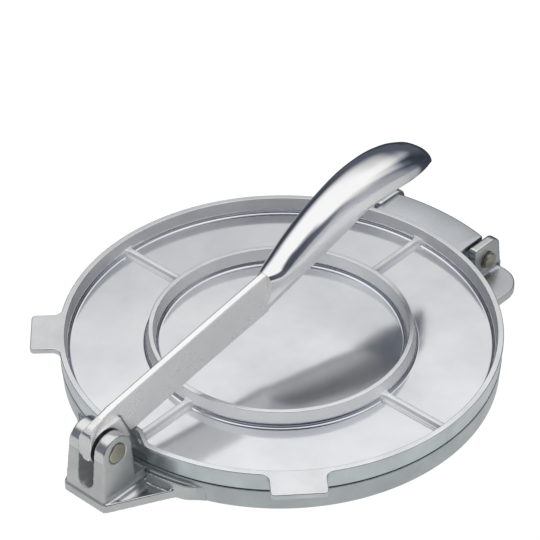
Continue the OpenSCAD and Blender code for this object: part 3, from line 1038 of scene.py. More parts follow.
    def rear_lump(self) -> Piece:
        """Casts the right rear ear with its lug and fillets.

        Returns:
            The casting.
        """
        hinge_y, hinge_z = self.hinge
        top, rear = hinge_z + self.ear_head, hinge_y + 11.3
        lean, corner = 1.8, 5.0
        ear = [(hinge_y - 9.2, 0.1), (rear, 0.1), (rear - lean, top - corner)]
        ear += arc((rear - lean - corner, top - corner), corner, 0, 90, 12)
        ear += [(hinge_y - 8, top), (hinge_y - 9, top - 1)]
        solids = [Bench.slab("ear", ear, Axis.X, self.ear_inner, self.ear_outer)]
        outer, back, rounding = self.ear_inner + 23, hinge_y + 7.3, 13.5
        lug = [(self.ear_inner, self.lug_start), (outer, self.lug_start)]
        lug += arc((outer - rounding, back - rounding), rounding, 0, 90, 20)
        lug += [(self.ear_inner, back)]
        solids.append(Bench.slab("lug", lug, Axis.Z, 0, self.lug_height))
        sunk, corner = self.ear_outer - 0.5, 4
        wedge = [(sunk, back - 1)]
        wedge += arc((self.ear_outer + corner, back + corner), corner, -90, -180, 8)
        wedge += [(sunk, back + corner)]
        solids.append(Bench.slab("wedge", wedge, Axis.Z, 0.1, self.lug_height))
        fillet = 3
        foot = [(sunk, self.lug_height - 0.5), (self.ear_outer + fillet, self.lug_height - 0.5)]
        foot += arc((self.ear_outer + fillet, self.lug_height + fillet), fillet, -90, -180, 8)
        solids.append(Bench.slab("foot", foot, Axis.Y, hinge_y - 9.5, back - 0.5))
        solids.append(self.wall_sector(54, 24))
        lump = Bench.joined("rear_casting_right", solids)
        grain = 0.4
        Bench.cast(lump, grain, 1)
        Bench.bore(lump, self.hinge, self.rod_radius + 0.15, (20, 40), 40)
        Bench.cast(lump, grain, 3)
        return lump

    def build(self) -> None:
        """Makes and dresses every piece of the base."""
        node = ["base_plate"]
        top = (self.height - 0.05) * MM
        dressed(
            self.disc(), "base",
            [(WALL, None), (FACE, lambda face: face.center.z > top)], node,
        )
        dressed(self.stiffeners(), "base", [(WALL, None)], node)
        heads, foot = (self.pivot[1] - 1) * MM, (self.foot_half + 0.3) * MM
        reach = (self.radius + 0.7) * MM
        dressed(
            self.clevis(), "base",
            [
                (LUMP, None),
                (HEAD, lambda face: face.center.z > heads and abs(face.normal.x) < ROUND_HEAD),
                (HEAD, lambda face: abs(face.center.x) > foot and face.normal.z > 0.25
                 and reach_of(face) > reach),
                (WALL, lambda face: reach_of(face) < reach and upright(face) and face.center.z < top),
            ], node, CAST_CREASE,
        )
        right = self.rear_lump()
        left = Bench.copied(right, "rear_casting_left", MIRROR_X)
        high = (self.hinge[1] + 1) * MM
        for ear in (right, left):
            dressed(
                ear, "base",
                [
                    (LUMP, None),
                    (LUG_TOP, lambda face: face.normal.z > 0.7),
                    (HEAD, lambda face: face.center.z > high and abs(face.normal.x) < ROUND_HEAD),
                ], node, CAST_CREASE,
            )


@dataclass
class TopPlate:
    """The upper casting: pan with its ring, rim with tabs, ribs, pad, tongue and cheeks."""

    radius: float = 102.0
    face: float = 11.3
    floor: float = 13.2
    rim: float = 20.9
    rim_inner: float = 99.2
    band: float = 100.2
    step: float = 15.2
    ring_outer: float = 61.0
    ring_inner: float = 58.6
    # Radii of each pan wall at its foot, at the edge of its step and at the floor.
    rim_wall: Corner = (98.5, 98.0, 97.9)
    ring_wall: Corner = (61.7, 62.2, 62.3)
    centre_wall: Corner = (57.9, 57.4, 57.3)
    rib_top: float = 16.1
    tab_reach: float = 12.6
    tab_half: float = 12.5
    tab_thick: float = 2.5
    tab_angle: float = 46.0
    tongue_half: float = 26.2
    tongue_edge: float = 118.0
    tongue_thick: float = 3.0
    hinge: Pair = HINGE
    cheek_reach: float = 6.25
    cheek_inner: float = 17.2
    pad_top: float = PAD_TOP
    pad_reach: float = 12.6
    pad_flat: float = 4.0
    pad_hollow: float = 4.9

    def wall_foot(self, radii: Corner, step: float, fillet: float) -> list[Corner]:
        """Foot of a pan wall as sharp corners: its step, the step's edge and the floor."""
        return [(radii[0], step, 0.15), (radii[1], step, 0.22), (radii[2], self.floor, fillet)]

    def pan(self) -> Piece:
        """Turns the floor, the raised ring and the inside of the rim.

        Returns:
            The pan.
        """
        draft = 0.7
        under = self.rim - self.tab_thick
        drafted = self.radius - draft * self.tab_thick / (self.rim - self.face)
        rim, ring_step = self.rim, self.step + 0.1
        section = eased([
            (0, self.face, 0), (self.radius - draft, self.face, 0.35), (drafted, under, 0),
            (self.band, under, 0), (self.band, rim, 0), (self.rim_inner, rim, 0.3),
            *self.wall_foot(self.rim_wall, self.step, 1.45),
            *reversed(self.wall_foot(self.ring_wall, ring_step, 1.2)),
            (self.ring_outer, rim, 0.35), (self.ring_inner, rim, 0.35),
            *self.wall_foot(self.centre_wall, ring_step, 1.45), (0, self.floor, 0),
        ])
        return Bench.turned("top_pan", section)

    def tab_outline(self, turn: float) -> tuple[float, list[Pair]]:
        """Outline of one lifting tab with its concave roots.

        Args:
            turn: direction of the tab in degrees from +X.

        Returns:
            Half the angle that its roots take up, and the points, anticlockwise.
        """
        root, corner, half = 4.0, 2.2, self.tab_half
        edge = self.radius + self.tab_reach
        side = half + root
        along = math.sqrt((self.radius + root) ** 2 - side**2)
        lean = math.degrees(math.atan2(side, along))
        points = arc((along, -side), root, 180 - lean, 90, 8)
        points += arc((edge - corner, corner - half), corner, -90, 0, 6)
        points += arc((edge - corner, half - corner), corner, 0, 90, 6)
        points += arc((along, side), root, -90, lean - 180, 8)
        spin = math.radians(turn)
        cos, sin = math.cos(spin), math.sin(spin)
        return lean, [(a * cos - b * sin, a * sin + b * cos) for a, b in points]

    def rim_plate(self) -> Piece:
        """Draws the rim's top band in one with the two lifting tabs.

        Returns:
            The band.
        """
        right, left = -90 + self.tab_angle, -90 - self.tab_angle
        lean, tab_right = self.tab_outline(right)
        tab_left = self.tab_outline(left)[1]
        far = arc((0, 0), self.radius, right + lean, 360 + left - lean, 140)
        near = arc((0, 0), self.radius, left + lean, right - lean, 40)
        outline = tab_right + far[1:-1] + tab_left + near[1:-1]
        low = self.rim - self.tab_thick
        plate = Bench.slab("rim_plate", outline, Axis.Z, low, self.rim, 0.15, 0.4, 4)
        hole = Bench.turned(
            "hole", [(0, low - 2), (self.band, low - 2), (self.band, self.rim + 2), (0, self.rim + 2)]
        )
        Bench.combine(plate, hole, "DIFFERENCE")
        Bench.face_out(plate, 0.0005)
        return plate

    def rib(self) -> Piece:
        """Casts one rib with flared ends and soft feet, along +X.

        Returns:
            The rib with a strip of the pan round its feet.
        """
        wall_in, wall_out, half, flare, foot_half = 61.4, 98.8, 1.35, 3.0, 2.1
        start, stop, side = 60, 99.6, half + flare
        plan = [(start, -side), (wall_in, -side)]
        plan += arc((wall_in + flare, -side), flare, 180, 90, 8)
        plan += arc((wall_out - flare, -side), flare, 90, 0, 8)
        plan += [(stop, -side)]
        plan += [(a, -b) for a, b in reversed(plan)]
        low = self.floor - 0.8
        bar = Bench.slab("rib", plan, Axis.Z, low, self.rib_top)
        foot = [(start, -foot_half), (stop, -foot_half), (stop, foot_half), (start, foot_half)]
        base = Bench.slab("rib_foot", foot, Axis.Z, low, self.floor + 0.6)
        hair, bed, high, step = 0.05, self.floor - 0.9, self.floor + 4.2, self.step
        floor = self.floor - hair
        rim_foot, rim_edge, rim_floor = (radius + hair for radius in self.rim_wall)
        ring_foot, ring_edge, ring_floor = (radius - hair for radius in self.ring_wall)
        section = [
            (start - 0.4, bed), (stop + 0.2, bed), (stop + 0.2, high), (wall_out + hair, high),
            (rim_foot, step), (rim_edge, step - hair), (rim_floor, floor),
            (ring_floor, floor), (ring_edge, step + hair), (ring_foot, step + 0.1),
            (wall_in - hair, high), (start - 0.4, high),
        ]
        ground = Bench.turned("ground", section, steps=24, start=-6, sweep=12)
        rib = Bench.joined("rib_1", [bar, base, ground])
        Bench.cast(rib, 0.3, 10)
        return rib

    def pad_slope(self, sink: float) -> list[Pair]:
        """Hollow outer slope of the pad, sunk by a little."""
        return arc((-102.6 - sink, self.pad_top - 0.2 - sink), self.pad_hollow, 0, -82, 10)

    def pad_wedge(self, name: str, outline: Sequence[Pair]) -> Piece:
        """Draws a solid across the pad whose ends slide out to the rim and sink to its level.

        Args:
            name: name of the solid.
            outline: side view in millimetres.

        Returns:
            The solid.
        """
        slide, sink, low = 4.2, 1.9, 14
        solid = Bench.slab(name, outline, Axis.X, -self.pad_reach, self.pad_reach)
        for side in (1, -1):
            Bench.saw(solid, side * self.pad_flat)
        for corner in solid.data.vertices:
            if abs(corner.co.x) > (self.pad_reach - 0.1) * MM and corner.co.z > low * MM:
                corner.co.y -= slide * MM
                corner.co.z -= sink * MM
        return solid

    def pad(self) -> Piece:
        """Draws the narrow pad on the rim, hollowed outside, that takes the push of the cam.

        Returns:
            The pad.
        """
        top, back, low = self.pad_top, -95.2, self.floor - 1
        outline = [(back, low), (back, top - 0.4), (back - 0.4, top), (-97.5, top)]
        outline += self.pad_slope(0) + [(-101.9, low)]
        pad = self.pad_wedge("cam_pad", outline)
        tool = Bench.turned(
            "tool", [(0, 5), (self.radius - 0.85, 5), (self.radius - 0.15, self.rim - 0.3),
                     (self.radius - 0.4, 30), (0, 30)]
        )
        Bench.combine(pad, tool, "INTERSECT")
        Bench.face_out(pad, 0.0005)
        return pad

    def tongue(self) -> Piece:
        """Turns the tongue's arc and saws its two ends square.

        Returns:
            The tongue.
        """
        low, root = self.rim - self.tongue_thick, self.radius - 0.6
        section = eased([
            (root, low, 0), (self.tongue_edge, low, 0.7), (self.tongue_edge, self.rim, 0.9),
            (root, self.rim, 0),
        ])
        tongue = Bench.turned("tongue", section, steps=32, start=74, sweep=32)
        for side in (1, -1):
            Bench.saw(tongue, side * self.tongue_half, side, drop=True)
        Bench.modify(
            tongue, "BEVEL", width=0.35 * MM, segments=3, limit_method="ANGLE", angle_limit=math.radians(60)
        )
        return tongue

    def cheek(self) -> Piece:
        """Draws the right cheek that hangs from the tongue round the rod.

        Returns:
            The cheek.
        """
        y, top = self.hinge[0], self.rim - 2.2
        outline = [(y - self.cheek_reach, top)]
        outline += arc(self.hinge, self.cheek_reach, 180, 360, 28)
        outline += [(y + 3, top)]
        return Bench.slab("cheek_right", outline, Axis.X, self.cheek_inner, self.tongue_half, 0.5, 0.5)

    def build(self) -> None:
        """Makes and dresses every piece of the top plate."""
        node = ["top_plate"]
        wall = (self.radius - 1.0) * MM
        under = (self.face + 0.05) * MM
        top = (self.rim - 0.02) * MM
        step = (self.step + 0.1) * MM
        ring = (self.ring_outer + 4) * MM
        pan, rim_plate = self.pan(), self.rim_plate()
        beside = self.pad_slope(0.05) + [(-105, 17), (-105, 26), (-97.6, 26)]
        for piece in (pan, rim_plate):
            Bench.combine(piece, self.pad_wedge("cut", beside), "DIFFERENCE")
        dressed(
            pan, "top",
            [
                (FLOOR, None),
                (PAN_WALL, lambda face: upright(face) and face.center.z > step),
                (RING_WALL, lambda face: upright(face) and face.center.z > step and reach_of(face) < ring),
                (RIM_WALL, lambda face: reach_of(face) > wall and face.center.z < top),
                (FACE, lambda face: face.center.z < under),
                (RIM, lambda face: face.center.z > top),
            ], node,
        )
        dressed(
            rim_plate, "top",
            [(RIM, None), (RIM_WALL, lambda face: upright(face, 0.3))], node,
        )
        rib = self.rib()
        for number in range(1, 4):
            twin = Bench.copied(rib, f"rib_{number + 1}", Matrix.Rotation(math.pi / 2 * number, 4, "Z"))
            dressed(twin, "top", [(RIB, None)], node, CAST_CREASE)
        dressed(rib, "top", [(RIB, None)], node, CAST_CREASE)
        dressed(self.pad(), "top", [(TONGUE, None)], node)
        dressed(self.tongue(), "top", [(TONGUE, None)], node)
        cheek = self.cheek()
        twin = Bench.copied(cheek, "cheek_left", MIRROR_X)
        dressed(cheek, "top", [(LUMP, None)], node)
        dressed(twin, "top", [(LUMP, None)], node)


@dataclass
class Lever:
    """The lever casting: eye, cam and bar in one lump, and the domed grip."""

    pivot: Pair = PIVOT
    pad_top: float = PAD_TOP
    pad_gap: float = 0.35
    bar_half: float = 1.7
    bar_len: float = 105.7
    bar_root: Pair = (5.7, 15.4)
    bar_rise: float = 31.2
    slopes: Pair = (0.165, 0.145)
    depths: Pair = (20.7, 21.6)
    eye_half: float = 3.7
    eye_radius: float = 9.0
    nose_centre: Pair = (-1.8, 6.0)
    nose_radius: float = 7.0
    cam_half: float = 3.8
    cam_heel: float = 15.0
    play: float = 0.6
    pin_radius: float = PIN_RADIUS
    grip_len: float = 115.0
    grip_half: float = 13.4
    grip_dome: float = 11.0
    grip_wall: float = 2.5
    grip_crease: float = 26.0
    square: float = 2.8
    flare: Pair = (1.8, 0.04)
    rib_len: float = 84.0
    hollow: frozenset[int] = frozenset()
    # Share of the grip's length, and there the share of its half width, the rise of its lower
    # edge over the end of the bar, and the share of its dome.
    stations: tuple[tuple[float, float, float, float], ...] = (
        (0.00, 0.166, -17.3, 1.57), (0.06, 0.448, -10.3, 1.07), (0.14, 0.627, -4.8, 1.045),
        (0.21, 0.694, -1.8, 1.16), (0.27, 0.739, 0.5, 1.24), (0.39, 0.79, 5.2, 1.24),
        (0.52, 0.905, 9.2, 1.08), (0.63, 0.965, 10.6, 1.00), (0.75, 1.00, 10.5, 0.95),
        (0.85, 0.895, 9.9, 0.78), (0.92, 0.67, 8.2, 0.58), (0.975, 0.33, 3.8, 0.36),
        (1.00, 0.046, 1.0, 0.046),
    )

    def at(self, u: float, w: float) -> Pair:
        """Turns distances from the pivot into the frame's y and z in millimetres."""
        return self.pivot[0] + u, self.pivot[1] + w

    def from_pivot(self, place: Vector) -> Pair:
        """Turns a point in metres into distances from the pivot in millimetres."""
        return place.y / MM - self.pivot[0], place.z / MM - self.pivot[1]

    def bar_top(self, u: float) -> float:
        """Height of the bar's top edge.

        Args:
            u: distance from the pivot.

        Returns:
            The height above the pivot.
        """
        start, level = self.bar_root
        run = self.bar_len - start
        return curve((min(u, self.bar_len) - start) / run, (level, self.bar_rise), self.slopes, run)

    def bar_bottom(self, u: float) -> float:
        """Height of the bar's bottom edge at a distance from the pivot."""
        t = u / self.bar_len
        return self.bar_top(u) - self.depths[0] * (1 - t) - self.depths[1] * t

    def grip_value(self, share: float, column: int) -> float:
        """Reads the stations between their rows.

        Args:
            share: share of the grip's length.
            column: which column of the stations to read.

        Returns:
            The value.
        """
        rows = self.stations
        last = len(rows) - 1

        def lean(k: int) -> float:
            """Slope at a station, from its two neighbours.

            Args:
                k: number of the station.

            Returns:
                The slope.
            """
            before, after = max(k - 1, 0), min(k + 1, last)
            if before == k or after == k:
                return (rows[after][column] - rows[before][column]) / (rows[after][0] - rows[before][0])
            left, right = rows[k][0] - rows[before][0], rows[after][0] - rows[k][0]
            down = (rows[k][column] - rows[before][column]) / left
            up = (rows[after][column] - rows[k][column]) / right
            return (down * right + up * left) / (left + right)

        i = min(max(k for k, row in enumerate(rows) if row[0] <= share + 1e-9), last - 1)
        span = rows[i + 1][0] - rows[i][0]
        levels = rows[i][column], rows[i + 1][column]
        return curve((share - rows[i][0]) / span, levels, (lean(i), lean(i + 1)), span)

    def edge(self, share: float) -> float:
        """Height of the grip's lower edge."""
        return self.bar_rise + self.grip_value(share, 2)

    def crest(self, share: float) -> float:
        """Height of the grip's crest."""
        return self.edge(share) + self.grip_dome * self.grip_value(share, 3)

    def bar_outline(self) -> list[Pair]:
        """Side view of the bar, from the nose to the start of the grip.

        Returns:
            The outline.
        """
        steps, over = 24, 8
        nose = self.nose(10)
        run = self.bar_len + over - self.bar_root[0]
        top = []
        for i in range(steps + 1):
            u = self.bar_root[0] + run * i / steps
            top.append((u, self.bar_top(u)))
        start = 23.7
        low = self.pad_level()
        bottom = []
        for i in range(steps, -1, -1):
            u = start + (self.bar_len + 1 - start) * i / steps
            bottom.append((u, self.bar_bottom(u)))
        foot = [(start - 2.5, low), (self.cam_heel, low), (8.5, -3), (0, -4.5), (-8.8, -4.5)]
        return [self.at(u, w) for u, w in nose + top + bottom + foot]

    def nose(self, steps: int) -> list[Pair]:
        """Rounding of the lever's nose in front of the pivot."""
        return arc(self.nose_centre, self.nose_radius, 180, 90, steps)

    def pad_level(self) -> float:
        """Height of the lever's underside over the pad, from the pivot."""
        return self.pad_top + self.pad_gap - self.pivot[1]

    def rib_outline(self) -> list[Pair]:
        """Side view of the rib that runs on under the grip.

        Returns:
            The outline.
        """
        steps = 24
        last = self.rib_len / self.grip_len
        start = self.bar_bottom(self.bar_len)
        rise = self.edge(last) - start
        top, bottom = [], []
        for i in range(steps + 1):
            t = i / steps
            u = self.bar_len - 0.2 + self.rib_len * t
            top.append((u, self.crest(last * t) - self.grip_wall * 0.6))
            bottom.append((u, start + 0.9 + rise * t * (0.64 + 0.36 * t**8)))
        return [self.at(u, w) for u, w in top + bottom[::-1]]

    def cam(self) -> list[Piece]:
        """Draws the cam, a block with a peak, and a bevel from its rear edge down to the bar.

        Returns:
            The block and the bevel.
        """
        low = self.pad_level()
        peak, heel = (9.4, 10.4), (self.cam_heel, low)
        block = [self.at(u, w) for u, w in ((-4, 8.6), (0, -3), (8.5, -3), heel, peak)]
        slope = [self.at(u, w) for u, w in (heel, (17.2, low), (11.8, 8.2), peak)]
        bevel = Bench.slab("bevel", slope, Axis.X, -self.cam_half, self.cam_half)
        for corner in bevel.data.vertices:
            for y, z in slope[1:3]:
                if (corner.co.yz - Vector((y, z)) * MM).length < 1e-5:
                    corner.co.x = math.copysign((self.bar_half - 0.3) * MM, corner.co.x)
        return [Bench.slab("cam", block, Axis.X, -self.cam_half, self.cam_half), bevel]

    def eye(self) -> list[Piece]:
        """Draws the eye round the pin and the nose above it, which thins out into the bar.

        Returns:
            The eye and the nose.
        """
        half = self.eye_half
        ring = Bench.slab("eye", arc(self.pivot, self.eye_radius, 0, 354, 59), Axis.X, -half, half)
        outline = [(-8.8, 0)] + self.nose(12)
        outline += [(1.5, 13.95), (5.7, 15.2), (9, 15.8), (9, 9), (8, 2), (6, 0)]
        nose = Bench.slab("nose", [self.at(u, w) for u, w in outline], Axis.X, -half, half)
        for corner in nose.data.vertices:
            u, w = self.from_pivot(corner.co)
            wide = half + (self.bar_half + 0.1 - half) * smooth((w - 5.5 + 0.25 * u) / 6)
            corner.co.x = math.copysign(wide * MM, corner.co.x)
        return [ring, nose]

    def bar(self) -> Piece:
        """Casts the eye, the cam, the bar and the rib under the grip as one lump.

        Returns:
            The casting with its bore.
        """
        half = self.bar_half
        solids = [
            Bench.slab("bar", self.bar_outline(), Axis.X, -half, half),
            Bench.slab("rib", self.rib_outline(), Axis.X, -half, half),
            *self.cam(),
            *self.eye(),
        ]
        lump = Bench.joined("lever_bar", solids)
        Bench.cast(lump, 0.36, 2)
        for corner in lump.data.vertices:
            apart = math.hypot(*self.from_pivot(corner.co))
            corner.co.x -= self.play * MM * smooth((12.5 - apart) / 4)
        Bench.bore(lump, self.pivot, self.pin_radius + 0.15, (-20, 20), 48)
        Bench.modify(lump, "SMOOTH", factor=0.5, iterations=3)
        return lump

    def arch(self, share: float, half: float, height: float, sides: int) -> list[Pair]:
        """Arch of the grip's section, whose shoulders flare out where the grip starts.

        Args:
            share: share of the grip's length.
            half: half width at the lip.
            height: height of the arch.
            sides: number of chords.

        Returns:
            The points from the right lip over the crest to the left lip.
        """
        power = 2 / (self.square - 0.75 * smooth((share - 0.58) / 0.32))
        flare = self.flare[0] * math.exp(-share / self.flare[1])
        points = []
        for i in range(sides + 1):
            angle = math.pi * i / sides
            across = math.copysign(abs(math.cos(angle)) ** power, math.cos(angle))
            up = abs(math.sin(angle)) ** power
            points.append((half * across * (1 + flare * up), height * up))
        return points

    def grip_section(self, share: float, sides: int) -> list[Vector]:
        """Closed section of the grip's shell at a share of its length.

        Args:
            share: share of the grip's length.
            sides: chords over the outside.

        Returns:
            The points in metres, over the outside and back over the inside.
        """
        half = self.grip_half * self.grip_value(share, 1)
        edge, crest = self.edge(share), self.crest(share)
        height = crest - edge
        y = self.pivot[0] + self.bar_len + self.grip_len * share
        lip = 0.55
        wall_side = max(half - self.grip_wall, 0.3 * half)
        wall_top = max(height - self.grip_wall, 0.3 * height)
        outer = [(across, edge + lip + up) for across, up in self.arch(share, half, height - lip, sides)]
        inner = [
            (across, edge + lip + up)
            for across, up in self.arch(share, wall_side, wall_top - lip, sides // 2)
        ]
        middle, reach = (half + wall_side) / 2, (half - wall_side) / 2
        turns = [math.pi * k / 8 for k in range(1, 8)]
        left = [(-middle - reach * math.cos(a), edge + lip - lip * math.sin(a)) for a in turns]
        right = [(middle - reach * math.cos(a), edge + lip - lip * math.sin(a)) for a in turns]
        loop = outer + left + inner[::-1] + right
        return [Vector((across, y, self.pivot[1] + up)) * MM for across, up in loop]

    def grip(self) -> Piece:
        """Shapes a grid into the grip's shell and closes its two ends.

        Returns:
            The shell, with its satin share as an attribute.
        """
        rings, sides = 130, 44
        count = len(self.grip_section(0.5, sides))
        Bench.clear()
        bpy.ops.mesh.primitive_grid_add(x_subdivisions=count, y_subdivisions=rings, size=0.1)
        piece = bpy.context.object
        piece.name = piece.data.name = "grip_dome"
        places = sorted(range(len(piece.data.vertices)), key=lambda k: (
            round(piece.data.vertices[k].co.y, 6), round(piece.data.vertices[k].co.x, 6)))
        row = count + 1
        inside = set()
        first = sides + 9
        for number in range(rings + 1):
            loop = self.grip_section(number / rings, sides)
            for k in range(row):
                piece.data.vertices[places[number * row + k]].co = loop[k % count]
            inside.update(tuple(round(a, 6) for a in place) for place in loop[first:first + sides // 2])
        Bench.edit(piece)
        bpy.ops.mesh.select_mode(type="VERT")
        bpy.ops.mesh.select_all(action="SELECT")
        bpy.ops.mesh.remove_doubles(threshold=0.001 * MM)
        bpy.ops.mesh.fill_holes(sides=0)
        bpy.ops.mesh.select_all(action="SELECT")
        bpy.ops.mesh.normals_make_consistent(inside=False)
        bpy.ops.object.mode_set(mode="OBJECT")
        self.mark_satin(piece)
        in_hollow = [tuple(round(a, 6) for a in corner.co) in inside for corner in piece.data.vertices]
        self.hollow = frozenset(
            face.index for face in piece.data.polygons if all(in_hollow[k] for k in face.vertices)
        )
        return piece

    def satin(self, across: float, y: float, z: float) -> float:
        """How satin the grip is at a place.

        Args:
            across: distance from the middle plane in millimetres; not used.
            y: place along the frame's y in millimetres.
            z: height in millimetres.

        Returns:
            1 on the satin flanks, 0 on the mirror above the shoulder.
        """
        share = clamped((y - self.pivot[0] - self.bar_len) / self.grip_len)
        edge = self.edge(share)
        height = max(self.crest(share) - edge, 0.5)
        up = (z - self.pivot[1] - edge) / height
        shoulder = 0.775
        fade = 0.02 + 0.5 * clamped((share - 0.30) / 0.30)
        below = clamped((shoulder - up) / fade + 0.5)
        return below * (1 - smooth((share - 0.40) / 0.35))

    def mark_satin(self, piece: Piece) -> None:
        """Writes the satin share of every vertex into an attribute of the mesh.

        Args:
            piece: the grip's mesh.
        """
        marks = piece.data.attributes.new(name="satin", type="FLOAT", domain="POINT")
        for corner, mark in zip(piece.data.vertices, marks.data):
            x, y, z = corner.co / MM
            mark.value = self.satin(x, y, z)

    def on_eye(self, face: Face) -> bool:
        """Whether a face is on the side of the eye in the gap beside the ear, where its dark finish is
        painted shade.
        """
        apart = (face.center.yz - Vector(self.pivot) * MM).length
        return abs(face.normal.x) > 0.5 and apart < 8.9 * MM

    def on_bevel(self, face: Face) -> bool:
        """Whether a face is on the bevel behind the cam, or rounds its edge. Such faces get the dark finish
        as a painted dark reflection.

        Args:
            face: a face of the lever's casting.

        Returns:
            True on the bevel.
        """
        behind, under, near, far = 9 * MM, 11 * MM, 8.8 * MM, 19 * MM
        pin = Vector(self.pivot) * MM
        place, normal = face.center, face.normal
        inside = place.y > pin.x + behind and place.z < pin.y + under
        sloped = abs(normal.x) < 0.93 and normal.y > 0.3 and normal.z > -0.3
        return inside and sloped and near < (place.yz - pin).length < far

    def build(self) -> None:
        """Makes and dresses every piece of the lever."""
        nose = (self.pivot[0] + 3) * MM
        dressed(
            self.bar(), "lever",
            [
                (BAR, None),
                (BAR_TOP, lambda face: face.normal.z > 0.6 and face.center.z > 40 * MM),
                (HEAD, lambda face: face.center.y < nose and abs(face.normal.x) < ROUND_HEAD
                 and face.normal.z < 0.6),
                # painted shade: the eye's side in the gap beside the ear gets the dark finish
                (DARK_CAST_AND_PAINTED_SHADE, self.on_eye),
                # painted dark reflection: the bevel behind the cam gets the dark finish
                (DARK_CAST_AND_PAINTED_SHADE, self.on_bevel),
            ],
            ["lever"], CAST_CREASE,
        )
        dressed(
            self.grip(), "lever",
            [(GRIP, None), (DARK_CAST_AND_PAINTED_SHADE, lambda face: face.index in self.hollow)],
            ["lever"], self.grip_crease,
        )


@dataclass
class Pins:
    """The lever pin and the hinge rod."""

    pivot: Pair = PIVOT
    hinge: Pair = HINGE
    pin_radius: float = PIN_RADIUS
    pin_half: float = 10.9
    rod_radius: float = ROD_RADIUS
    rod_half: float = 34.35
    groove_radius: float = 3.3

    def round_bar(self, name: str, half: Sequence[Corner], place: Pair) -> Piece:
        """Turns a bar whose two ends are alike.

        Args:
            name: name of the piece.
            half: sharp section of one half, as (radius, place along X, rounding).
            place: y and z of its axis.

        Returns:
            The bar.
        """
        section = [(radius, -x, soft) for radius, x, soft in reversed(half)] + list(half)
        bar = Bench.turned(name, eased(section), Axis.X, 64)
        Bench.move(bar, place)
        return bar

    def lever_pin(self) -> Piece:
        """Turns the lever pin with softly rounded ends."""
        half = [(self.pin_radius, self.pin_half, 0.5), (0, self.pin_half, 0)]
        return self.round_bar("lever_pin_steel", half, self.pivot)

    def hinge_rod(self) -> Piece:
        """Turns the hinge rod with a groove behind each head.

        Returns:
            The rod.
        """
        radius, end, groove = self.rod_radius, self.rod_half, self.groove_radius
        half = [
            (radius, 32.2, 0), (groove, 32.4, 0.1), (groove, 33.0, 0.1), (radius, 33.1, 0.15),
            (radius, end, 0.5), (0, end, 0),
        ]
        return self.round_bar("hinge_rod_steel", half, self.hinge)

    def build(self) -> None:
        """Makes and dresses both pins."""
        dressed(self.lever_pin(), "base", [(PIN, None)], ["lever_pin"])
        dressed(self.hinge_rod(), "base", [(PIN, None)], ["hinge_rod"])


